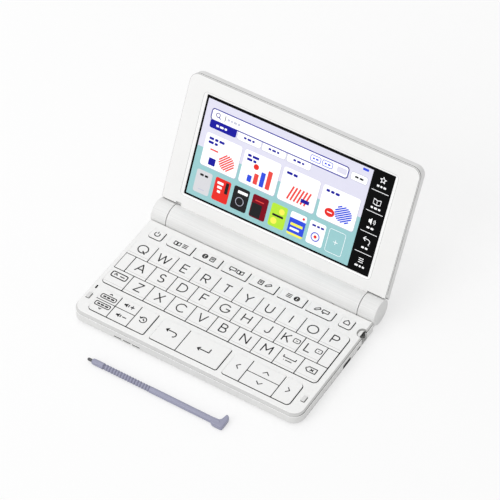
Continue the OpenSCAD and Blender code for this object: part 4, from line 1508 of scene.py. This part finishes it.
@dataclass
class Lid:
    """The bezel with its turning barrel, and the cover behind it."""

    face: float = 0.4
    plate: float = 1.2
    cover_face: float = 2.05
    back: float = 8.22
    bevel: float = 1.6
    radius: float = 5.5
    cover_low: float = 5.7
    door_x: Point = (-49.4, 48.7)
    door_r: Point = (6.9, 9.0)
    door_turn: Point = (-150.0, -75.0)

    def turning_barrel(self) -> Obj:
        """Makes the turning barrel with the opening of the battery door.

        Returns:
            The barrel, unplaced.
        """
        solid = Solid()
        solid.turned(rod(TURN_X0, TURN_X1, 0.2), 0, 0, 96)
        body = solid.raw("turning_barrel")
        tool = Solid()
        rings = []
        (left, right), (inner, outer), (start, end) = self.door_x, self.door_r, self.door_turn
        steps = 25
        for i in range(steps + 1):
            t = math.radians(start + (end - start) * i / steps)
            rings.append([tool.mesh.verts.new((x, r * math.cos(t), r * math.sin(t)))
                          for x, r in ((left, inner), (right, inner), (right, outer), (left, outer))])
        for one, two in zip(rings, rings[1:]):
            tool.bridge(one, two)
        tool.cap([rings[0]])
        tool.cap([rings[-1]])
        return cut(body, [tool.raw("door_cutter")])

    def bezel(self) -> None:
        """Builds the bezel plate with the hollow frame round the glass, joined to the turning barrel."""
        w = HALF_W - 0.05
        top = LID_H - 0.05
        r = self.radius
        ears = EAR_R - 0.5
        shape = ([(TURN_X0 + 2.6, 4.0), (TURN_X1, 4.0), (TURN_X1, ears)]
                 + arc(w - 1, ears + 1, 1, 1, -90, 0, 6) + arc(w - r, top - r, r, r, 0, 90, 12)
                 + arc(-w + r, top - r, r, r, 90, 180, 12) + arc(-w + 1, ears + 1, 1, 1, 180, 270, 6)
                 + [(TURN_X0 - 0.4, ears), (TURN_X0 - 0.4, ears + 1.05), (TURN_X0 + 2.6, ears + 1.05)])
        a, b, c, d = GLASS
        plate = Solid(Plane.LID)
        face = self.face
        rows = [(shape, face + self.plate), (shape, face + 0.3), (grow(shape, -0.08), face + 0.1),
                (grow(shape, -0.3), face)]
        # the rounding at the bezel's front edge is mid grey: painted shade
        outer = plate.loft(rows, ends=False, bands=[0, 3, 3])
        inner = []
        for grown, depth, radius in ((2.3, 0.0, 2.6), (2.05, 0.02, 2.4), (1.7, 0.08, 2.0), (1.2, 0.2, 1.5),
                                     (0.7, 0.33, 1.0), (0.3, 0.41, 0.6), (0.15, 0.44, 0.5), (0.15, 1.4, 0.5)):
            left, right, low, high = a - grown, b + grown * 0.9, c - grown * 0.6, d + grown * 0.6
            inner.append(plate.ring(outline(left, right, low, high, radius, 8), face + depth))
        # the outer band round the window is mid grey, painted shade; the slope down to the glass is a
        # brighter white, painted highlight
        for i, (one, two) in enumerate(zip(inner, inner[1:])):
            plate.index = 3 if i == 0 else 2
            plate.bridge(one, two)
        plate.index = 0
        plate.cap([outer[-1], inner[0]])
        plate.cap([outer[0], inner[-1]])
        plate.index = 1
        plate.absorb(self.turning_barrel())
        piece = plate.finish("bezel_skin", [BEZEL, BARREL, HIGHLIGHT, EDGE_SHADE], ON_LID)
        keep(piece, "lid", "bezel_white", "lid_bezel")

    def cover(self) -> None:
        """Builds the cover with its rounded back edge."""
        def rect(inset: float) -> list[Point]:
            """Draws the cover's outline.

            Args:
                inset: How far its top and sides are drawn in.

            Returns:
                The points.
            """
            r = self.radius - inset
            return outline(-HALF_W + inset, HALF_W - inset, self.cover_low, LID_H - inset,
                           (0.8, 0.8, r, r), 12)

        rows = [(rect(0.3), self.cover_face), (rect(0.06), self.cover_face + 0.08),
                (rect(0), self.cover_face + 0.3), (rect(0), self.back - self.bevel)]
        for i in range(1, 8):
            t = math.radians(90 * i / 7)
            rows.append((rect(self.bevel * (1 - math.cos(t))), self.back - self.bevel * (1 - math.sin(t))))
        solid = Solid(Plane.LID)
        solid.loft(rows)
        body = solid.raw("cover_skin")
        hollows = ((TURN_X0 - 0.1, TURN_X1 + 0.1, BARREL_R + 0.1), (-HALF_W - 2, TURN_X0, EAR_R),
                   (TURN_X1, HALF_W + 2, EAR_R))
        cut(body, [axle(*hollow, steps=96) for hollow in hollows])
        keep(dress(body, [COVER], ON_LID), "lid", "cover_grey", "lid_cover")

    def seam(self) -> None:
        """Builds a near-black sheet in the open line between bezel and cover, painted shade for the gap."""
        w = HALF_W - 0.08
        loop = outline(-w, w, EAR_R + 1.2, LID_H - 0.08, (1, 1, 5.42, 5.42), 12)
        solid = Solid(Plane.LID)
        solid.loft([(loop, self.face + self.plate - 0.1), (loop, self.cover_face + 0.1)])
        keep(solid.finish("lid_gasket", [BLACK_AND_SHADE], ON_LID), "lid", "rubber_grey")

    def build(self) -> None:
        """Builds every piece of the lid."""
        self.bezel()
        self.cover()
        self.seam()


@dataclass
class Screen:
    """The black glass, the lit picture behind it and the touch strip."""

    face: float = 0.85
    lit: tuple[float, float, float, float] = (-59.7, 47.0, 17.3, 76.9)
    split: float = 47.5
    card_y: Point = (37.4, 57.4)
    card_w: float = 23.6
    tile_x: float = -56.2
    tile_y: Point = (20.2, 34.2)
    tile_w: float = 10.3
    tile_pitch: float = 12.5
    strip_x: float = 53.9

    def pane(self) -> None:
        """Builds the glass with its eased edge."""
        a, b, c, d = GLASS
        loop = outline(a, b, c, d, 0.5, 6)
        solid = Solid(Plane.LID)
        solid.loft([(loop, self.face + 1.1), (loop, self.face + 0.1), (grow(loop, -0.03), self.face + 0.03),
                    (grow(loop, -0.1), self.face)])
        keep(solid.finish("glass_pane", [BLACK], ON_LID), "lid", "glass_black", "touch_panel")

    def hatch(self, ink: Ink, cx: float, cy: float, r: float, colour: Finish, angle: float,
              squeeze: float) -> None:
        """Prints a round shape filled with slanting stripes.

        Args:
            ink: The print.
            cx: Middle, across.
            cy: Middle, up.
            r: Radius.
            colour: The stripes' colour.
            angle: Their slant in degrees.
            squeeze: Height over width.
        """
        ink.fill(arc(cx, cy, r, r * squeeze, 0, 350, 35), SNOW, 4)
        t = math.radians(angle)
        step = 1.3
        n = int(r / step)
        for i in range(-n, n + 1):
            d = i * step
            half = math.sqrt(max(r * r - d * d, 0))
            ends = []
            for side in (-1, 1):
                x = side * half * math.cos(t) - d * math.sin(t)
                y = side * half * math.sin(t) + d * math.cos(t)
                ends.append((cx + x, cy + y * squeeze))
            ink.stroke(ends, 0.8, colour, 5)

    def bars(self, ink: Ink, x: float, y: float, widths: Sequence[float], colour: Finish, thick: float,
             layer: int = 3) -> None:
        """Prints a row of short bars where a heading would stand.

        Args:
            ink: The print.
            x: Where the row starts.
            y: Its middle, up.
            widths: The bars' widths.
            colour: Their colour.
            thick: Their height.
            layer: The layer.
        """
        for w in widths:
            ink.fill(box(x + w / 2, y, w, thick, thick * 0.3), colour, layer)
            x += w + 0.7

    def frames(self, ink: Ink) -> None:
        """Prints the background, the entry line and its tabs.

        Args:
            ink: The print.
        """
        a, b, c, d = self.lit
        ink.fill([(a, c), (b, c), (b, self.split), (a, self.split)], TEAL)
        ink.fill([(a, self.split), (b, self.split), (b, d), (a, d)], PALE)
        for i, (x, w) in enumerate(((-55.5, 17.5), (-37.2, 15.5), (-21.0, 15.5), (-4.8, 15.5))):
            tab = outline(x, x + w, 60.6, 65.2, (1.2, 1.2, 0.2, 0.2), 5)
            ink.fill(tab, NAVY if i == 0 else SNOW, 2)
            if i:
                ink.stroke(tab, 0.22, MIST, 3, True)
            self.bars(ink, x + 4.2, 63.0, (1.7, 2.4, 1.5), SNOW if i == 0 else NAVY, 1.2)
        entry = outline(-55.8, 33.0, 65.4, 72.2, 1.7, 6)
        ink.fill(entry, SNOW, 3)
        ink.stroke(entry, 0.62, NAVY, 4, True)
        ink.stroke(arc(-51.6, 69.2, 1.25, 1.25, 0, 360, 18), 0.42, NAVY, 5)
        ink.stroke([(-50.7, 68.3), (-49.7, 67.2)], 0.5, NAVY, 5)
        ink.stroke([(-46.8, 67.2), (-46.8, 70.6)], 0.4, COAL, 5)
        self.bars(ink, -45.4, 68.9, (1.6, 1.2, 2.0, 1.4), MIST, 1.3, 5)
        for x, w in ((9.0, 6.4), (16.6, 6.4)):
            ink.stroke(box(x + w / 2, 68.8, w, 3.4, 0.8), 0.34, BLUE, 5, True)
            self.bars(ink, x + 1.4, 68.8, (1.3, 1.6), BLUE, 0.9, 5)
        ink.fill(box(29.0, 68.8, 6.2, 3.4, 0.9), PALE, 5)
        ink.fill(box(40.0, 68.8, 10.4, 4.6, 1.2), SNOW, 3)
        ink.stroke(box(40.0, 68.8, 10.4, 4.6, 1.2), 0.24, MIST, 4, True)
        self.bars(ink, 37.4, 68.8, (2.2, 2.4), COAL, 1.1, 4)
        ink.fill(box(42.5, 75.2, 3.6, 1.4, 0.3), BLUE, 3)

    def cards(self, ink: Ink) -> None:
        """Prints the row of large cards, each with a simple striped picture.

        Args:
            ink: The print.
        """
        heads = ((3.0, 2.2, 3.4), (2.4, 4.2), (3.6, 2.6), (2.2, 2.2, 2.6))
        y0, y1 = self.card_y
        for i, x in enumerate((-55.8, -30.2, -4.6, 21.0)):
            ink.fill(outline(x + 0.1, x + 23.9, y0 - 0.35, y1 - 0.4, 1.6, 6), MIST, 2)
            ink.fill(outline(x, x + self.card_w, y0, y1, 1.5, 6), SNOW, 3)
            self.bars(ink, x + 2.2, 54.6, heads[i], NAVY, 1.5, 4)
            if i in (0, 1):
                self.bars(ink, x + 2.2, 52.2, (3.4, 2.0), NAVY, 1.5, 4)
            if i == 0:
                self.hatch(ink, x + 16.2, 44.0, 5.0, CORAL, 45, 0.95)
                ink.fill(box(x + 7.2, 41.2, 4.4, 4.4, 0.5), NAVY, 5)
                ink.stroke([(x + 4.4, 48.3), (x + 9.6, 48.3)], 0.9, CORAL, 5)
            elif i == 1:
                for k in range(4):
                    h = 4.0 + 2.4 * k
                    ink.fill(outline(x + 5.0 + 4.0 * k, x + 7.8 + 4.0 * k, 39.4, 39.4 + h, 0.4, 4),
                             (BLUE, CORAL)[k % 2], 5)
                ink.fill(arc(x + 9.0, 49.6, 1.7, 1.7, 0, 345, 23), RED, 5)
            elif i == 2:
                for k in range(6):
                    ink.stroke([(x + 6.0 + k * 2.2, 39.6), (x + 8.6 + k * 2.2, 48.2)], 1.1, CORAL, 5)
                ink.fill(box(x + 17.2, 42.2, 5.4, 2.2, 0.3), NAVY, 6)
            else:
                self.hatch(ink, x + 15.6, 44.6, 5.4, BLUE, 35, 0.9)
                ink.fill(arc(x + 7.4, 42.6, 3.1, 2.6, 0, 345, 23), RED, 6)
                ink.stroke([(x + 5.9, 42.6), (x + 8.9, 42.6)], 0.6, SNOW, 7)

    def tiles(self, ink: Ink) -> None:
        """Prints the row of small tiles and the empty one at its end.

        Args:
            ink: The print.
        """
        (y0, y1), w = self.tile_y, self.tile_w
        colours = (SILVER, RED, COAL, WINE, LIME, BLUE, SNOW)
        for i, colour in enumerate(colours):
            x = self.tile_x + i * self.tile_pitch
            ink.fill(outline(x, x + w, y0, y1, 1.2, 5), colour, 3)
            inner = COAL if colour in (SILVER, SNOW, LIME) else SNOW
            if i == 0:
                self.bars(ink, x + 2.4, 31.4, (2.4, 2.2), inner, 1.3, 4)
                ink.stroke([(x + 3.2, 22.6), (x + 7.2, 22.6)], 0.5, MIST, 4)
            elif i == 1:
                ink.fill(box(x + 8.1, 29.6, 2.0, 6.8, 0.3), COAL, 4)
                for k in range(3):
                    ink.fill(box(x + 3.6, 31.2 - k * 2.6, 4.0 - k, 1.5, 0.3), SNOW, 4)
            elif i == 2:
                ink.fill(box(x + 6.0, 31.3, 6.4, 1.7, 0.3), SNOW, 4)
                ink.stroke(arc(x + 5.15, 25.6, 2.5, 2.5, 0, 360, 24), 0.35, MIST, 4)
            elif i == 3:
                ink.fill(outline(x + 0.4, x + 7.0, y0 + 0.5, 29.0, 0.6, 4), COAL, 4)
                ink.stroke([(x + 2.0, 30.8), (x + 7.6, 30.8)], 0.6, CORAL, 4)
            elif i == 4:
                ink.fill(arc(x + 3.2, 23.8, 2.0, 2.0, 0, 345, 23), YELLOW, 4)
                ink.fill(arc(x + 7.0, 30.6, 1.8, 1.8, 0, 345, 23), YELLOW, 4)
                ink.fill(box(x + 5.1, 27.4, 7.0, 1.3, 0.3), inner, 5)
            elif i == 5:
                ink.fill(outline(x, x + w, 30.4, y1, (0.1, 0.1, 1.2, 1.2), 5), SNOW, 4)
                ink.fill(box(x + 5.1, 26.8, 7.8, 1.6, 0.3), YELLOW, 4)
                ink.fill(box(x + 4.4, 24.0, 6.0, 1.3, 0.3), SNOW, 4)
                ink.fill(outline(x, x + w, y0, 21.6, (1.2, 1.2, 0.1, 0.1), 5), YELLOW, 4)
                ink.fill(arc(x + 8.4, 32.2, 0.8, 0.8, 0, 345, 15), RED, 5)
            else:
                self.bars(ink, x + 1.6, 31.6, (2.4, 1.8, 2.0), NAVY, 1.2, 4)
                ink.stroke(arc(x + 5.15, 25.2, 2.5, 2.5, 0, 360, 24), 0.6, BLUE, 4)
                ink.fill(arc(x + 5.15, 25.2, 1.0, 1.0, 0, 345, 15), RED, 4)
        x = self.tile_x + len(colours) * self.tile_pitch
        ink.stroke(outline(x, x + w, y0, y1, 1.2, 5), 0.26, SNOW, 3, True)
        ink.stroke([(x + 3.8, 27.2), (x + 6.6, 27.2)], 0.35, SNOW, 3)
        ink.stroke([(x + 5.2, 25.8), (x + 5.2, 28.6)], 0.35, SNOW, 3)

    def strip(self, ink: Ink) -> None:
        """Prints the signs of the touch strip.

        Args:
            ink: The print.
        """
        x = self.strip_x
        for y in (66.3, 53.6, 41.0, 28.4):
            ink.stroke([(48.7, y), (59.2, y)], 0.32, SNOW, 2)
        star = []
        for i in range(10):
            r = 1.9 if i % 2 == 0 else 0.85
            t = math.radians(90 + 36 * i)
            star.append((x + r * math.cos(t), 73.4 + r * math.sin(t)))
        signs = [star, [(x - 2.2, 58.7), (x - 2.2, 61.6), (x, 61.0), (x, 58.1)],
                 [(x + 2.2, 58.7), (x + 2.2, 61.6), (x, 61.0), (x, 58.1)]]
        for s in signs:
            ink.stroke(s, 0.4, SNOW, 2, True)
        ink.fill([(x - 1.9, 47.2), (x - 1.1, 47.2), (x, 46.0), (x, 50.2), (x - 1.1, 49.0), (x - 1.9, 49.0)],
                 SNOW, 2)
        for r in (1.1, 1.9):
            ink.stroke(arc(x + 0.3, 48.1, r, r, -50, 50, 8), 0.36, SNOW, 2)
        bow = arc(x + 0.6, 35.6, 1.6, 1.5, -50, 90, 10)
        ink.stroke([(x + 1.9, 33.6), *bow, (x - 1.8, 37.1)], 0.42, SNOW, 2)
        ink.stroke([(x - 0.7, 38.4), (x - 2.1, 37.1), (x - 0.7, 35.8)], 0.42, SNOW, 2)
        for k in range(3):
            ink.stroke([(x - 1.5, 24.9 - k * 1.15), (x + 1.5, 24.9 - k * 1.15)], 0.42, SNOW, 2)
        for y, widths in ((69.4, (1.5, 1.2, 1.6)), (56.2, (1.4, 1.8, 1.4)), (44.0, (1.8, 1.8)),
                          (31.6, (1.6, 1.6)), (20.2, (2.0, 1.2, 1.4))):
            total = sum(widths) + 0.7 * (len(widths) - 1)
            self.bars(ink, x - total / 2, y, widths, SNOW, 1.1, 2)

    def build(self) -> None:
        """Builds the glass and the picture."""
        self.pane()
        ink = Ink(Plane.LID, self.face)
        self.frames(ink)
        self.cards(ink)
        self.tiles(ink)
        self.strip(ink)
        keep(ink.build("screen_picture", ON_LID), "lid", "display")


# the stylus


@dataclass
class Stylus:
    """The pen that lies in front of the case: tip, ribbed grip, shaft and hooked head."""

    x: float = -48.7
    y: float = FRONT - 20.35
    r: float = 1.8
    length: float = 89.0
    ribs: int = 16
    pitch: float = 1.82
    bead: float = 0.8
    grip_x: float = 12.6

    def shaft(self) -> None:
        """Builds tip, shaft and head as one piece."""
        solid = Solid()
        x, y, z, r = self.x, self.y, self.r, self.r
        solid.index = 1
        solid.turned([(x, 0.35), (x + 0.1, 0.6), (x + 0.35, 0.82), (x + 0.8, 0.9), (x + 3.3, 0.9)], y, z, 40)
        solid.index = 0
        solid.turned([(x + 3.1, 1.0), (x + 3.15, 1.25), (x + 3.5, 1.58), (x + 4.4, 1.76), (x + 5.4, r),
                      (x + 10.6, r), (x + 10.75, r - 0.35)], y, z, 48)
        # the grip's core between the ribs is a darker lavender: painted shade
        solid.index = 2
        solid.turned([(x + 10.7, r - 0.3), (x + 41.2, r - 0.3)], y, z, 48)
        solid.index = 0
        solid.turned([(x + 41.0, r - 0.2), (x + 41.2, r), (x + self.length - 3.4, r)], y, z, 48)
        plan = [(-8.2, -1.5), (-7.2, -2.4), (-5.8, -2.9), (-0.9, -2.9), (-0.1, -2.1), (-0.2, 4.4),
                (-0.9, 5.9), (-2.1, 6.8), (-3.0, 6.3), (-3.7, 1.8), (-8.2, 1.5)]
        soft = []
        for p, q in zip(plan, [*plan[1:], plan[0]]):
            soft += [tuple(Vector(p).lerp(Vector(q), share)) for share in (0.2, 0.8)]
        head = [(a + x + self.length, b + y) for a, b in soft]
        steps = ((-0.75, 0.2), (-0.35, 0.3), (-0.1, 0.6), (0, 1.0), (0, 2.6), (-0.1, 3.0), (-0.35, 3.3),
                 (-0.75, 3.4))
        solid.loft([(grow(head, wider), height) for wider, height in steps])
        keep(solid.finish("stylus_skin", [LAVENDER, TIP, LAVENDER_SHADE]), "stylus", "stylus_lavender", "stylus")

    def grip(self) -> None:
        """Builds the grip's ribs from one geometry tree."""
        graph, given = new_tree("grip_ribs", Count="Int", Pitch="Vector", Start="Vector", Radius="Float",
                                Bead="Float", Finish="Material")
        row = graph.node("GeometryNodeMeshLine", {"mode": "OFFSET"}, {
            "Count": given["Count"], "Start Location": given["Start"], "Offset": given["Pitch"]})
        hoop, section = (graph.node("GeometryNodeCurvePrimitiveCircle", {"mode": "RADIUS"},
                                    {"Resolution": steps, "Radius": given[name]}).outputs[0]
                         for steps, name in ((40, "Radius"), (10, "Bead")))
        bead = graph.node("GeometryNodeCurveToMesh", {}, {"Curve": hoop, "Profile Curve": section})
        turned = graph.node("GeometryNodeTransform", {}, {
            "Geometry": bead.outputs[0], "Rotation": (0.0, math.pi / 2, 0.0)})
        tree = close_tree(graph, row.outputs[0], turned.outputs[0], given["Finish"])
        ribs = grown_by_nodes(bpy.data.meshes.new("grip_ribs"), tree, {
            "Count": self.ribs, "Pitch": (self.pitch * MM, 0.0, 0.0),
            "Start": ((self.x + self.grip_x) * MM, self.y * MM, self.r * MM),
            "Radius": (self.r - self.bead) * MM, "Bead": self.bead * MM, "Finish": LAVENDER.material()})
        keep(settle(ribs, 60), "stylus", "stylus_lavender")

    def build(self) -> None:
        """Builds the whole pen."""
        self.shaft()
        self.grip()


# what stays from the solids


@dataclass(frozen=True)
class Kept:
    """The solids that stay as they are, each with its finish."""

    # the dome sheet is near black: painted shade in the key gaps above it
    finishes: tuple[tuple[str, Finish], ...] = (
        ("rubber_feet", RUBBER), ("main_board", BOARD), ("dome_sheet", BLACK_AND_SHADE), ("hinge_pins", STEEL),
        ("lcd_panel", BLACK_AND_SHADE), ("battery_cells", CELL), ("battery_contacts", STEEL), ("battery_door", BARREL))

    def build(self, nodes: dict[str, Obj]) -> None:
        """Dresses them.

        Args:
            nodes: The solids by name.
        """
        for name, finish in self.finishes:
            obj = nodes[name]
            for slot in obj.material_slots:
                slot.material = finish.material()
            LOG.info("%s kept, in %s", name, finish.name)


# the studio


@dataclass
class Studio:
    """Floor, backdrop light, lamps and the camera at the photograph's angle."""

    azimuth: float = 32.07
    elevation: float = 47.65
    place: Place = (0.493345, -0.772303, 1.054364)
    lens: float = 179.65
    ambient: float = 0.66
    floor_glow: float = 0.6
    aim: Place = (0.0, 0.0, 0.03)
    lamps: tuple[tuple[str, Place, float, float], ...] = (
        ("lamp_over", (-0.5, 0.1, 1.5), 1.2, 6.0), ("lamp_front", (-0.5, -1.3, 0.95), 1.1, 8.0))

    def camera(self) -> None:
        """Sets the camera."""
        a, e = math.radians(self.azimuth), math.radians(self.elevation)
        right = Vector((math.cos(a), math.sin(a), 0))
        back = Vector((math.sin(a) * math.cos(e), -math.cos(a) * math.cos(e), math.sin(e)))
        up = back.cross(right)
        made = bpy.data.cameras.new("camera")
        made.lens = self.lens
        made.sensor_width = 36.0
        made.clip_start = 0.01
        obj = placed("camera", made)
        obj.matrix_world = Matrix.Translation(self.place) @ Matrix((right, up, back)).transposed().to_4x4()
        bpy.context.scene.camera = obj

    def floor(self) -> None:
        """Lays the pale floor, a wide round sheet."""
        sheet = Solid()
        rows = sheet.loft([(arc(0, 0, r, r, 0, 354.375, 63), -0.00005) for r in (0.4, 1.0, 2.0, 4.0)],
                          ends=False)
        sheet.cap(rows[:1])
        bmesh.ops.recalc_face_normals(sheet.mesh, faces=sheet.mesh.faces)
        obj = landed("floor", sheet.mesh)
        made = bpy.data.materials.new("floor_paper")
        graph = shader_graph(made)
        cloud = graph.noise(graph.node("ShaderNodeTexCoord").outputs["Object"], 6.0)
        paper = graph.node("ShaderNodeBsdfDiffuse", {}, {
            "Color": cloud.between((0.94, 0.94, 0.94), (0.96, 0.96, 0.96)), "Roughness": 0.5})
        glow = graph.node("ShaderNodeEmission", {}, {"Color": (1.0, 1.0, 1.0, 1.0), "Strength": 1.0})
        path = graph.node("ShaderNodeLightPath")
        seen = Wire(graph, path.outputs["Is Camera Ray"]) * self.floor_glow
        both = graph.node("ShaderNodeMixShader", {}, {0: seen, 1: paper.outputs[0], 2: glow.outputs[0]})
        graph.node("ShaderNodeOutputMaterial", {}, {"Surface": both.outputs[0]})
        obj.data.materials.append(made)

    def world(self) -> None:
        """Sets an even soft light, with a white backdrop for the camera and for reflections."""
        world = bpy.data.worlds.new("studio")
        bpy.context.scene.world = world
        graph = shader_graph(world)
        path = graph.node("ShaderNodeLightPath")
        seen = (Wire(graph, path.outputs["Is Camera Ray"]) + Wire(graph, path.outputs["Is Glossy Ray"])
                + Wire(graph, path.outputs["Is Transmission Ray"])).clamped(0.0, 1.0)
        soft, white = (graph.node("ShaderNodeBackground", {}, {
            "Color": (1.0, 1.0, 1.0, 1.0), "Strength": power}).outputs[0] for power in (self.ambient, 1.0))
        both = graph.node("ShaderNodeMixShader", {}, {0: seen, 1: soft, 2: white})
        graph.node("ShaderNodeOutputWorld", {}, {"Surface": both.outputs[0]})

    def lamp(self, name: str, place: Place, size: float, power: float) -> None:
        """Hangs one square lamp that looks at the object.

        Args:
            name: Its name.
            place: Where, in metres.
            size: Its side.
            power: Its power in watts.
        """
        made = bpy.data.lights.new(name, "AREA")
        made.size = size
        made.energy = power
        look = (Vector(self.aim) - Vector(place)).to_track_quat("-Z", "Y")
        placed(name, made).matrix_world = Matrix.Translation(place) @ look.to_matrix().to_4x4()

    def build(self) -> None:
        """Sets up the whole studio."""
        self.camera()
        self.floor()
        self.world()
        for lamp in self.lamps:
            self.lamp(*lamp)
        bpy.context.scene.view_settings.view_transform = "Standard"
        LOG.info("studio set")


def main() -> None:
    """Builds the looks in order."""
    logging.basicConfig(level=logging.INFO, format="%(name)s: %(message)s")
    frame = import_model()
    keyboard = Keyboard()
    Studio().build()
    Case(wells=keyboard.wells(), pads=keyboard.pads()).build()
    keyboard.build()
    Lid().build()
    Screen().build()
    Stylus().build()
    Kept().build(frame["nodes"])


if __name__ == "__main__":
    main()
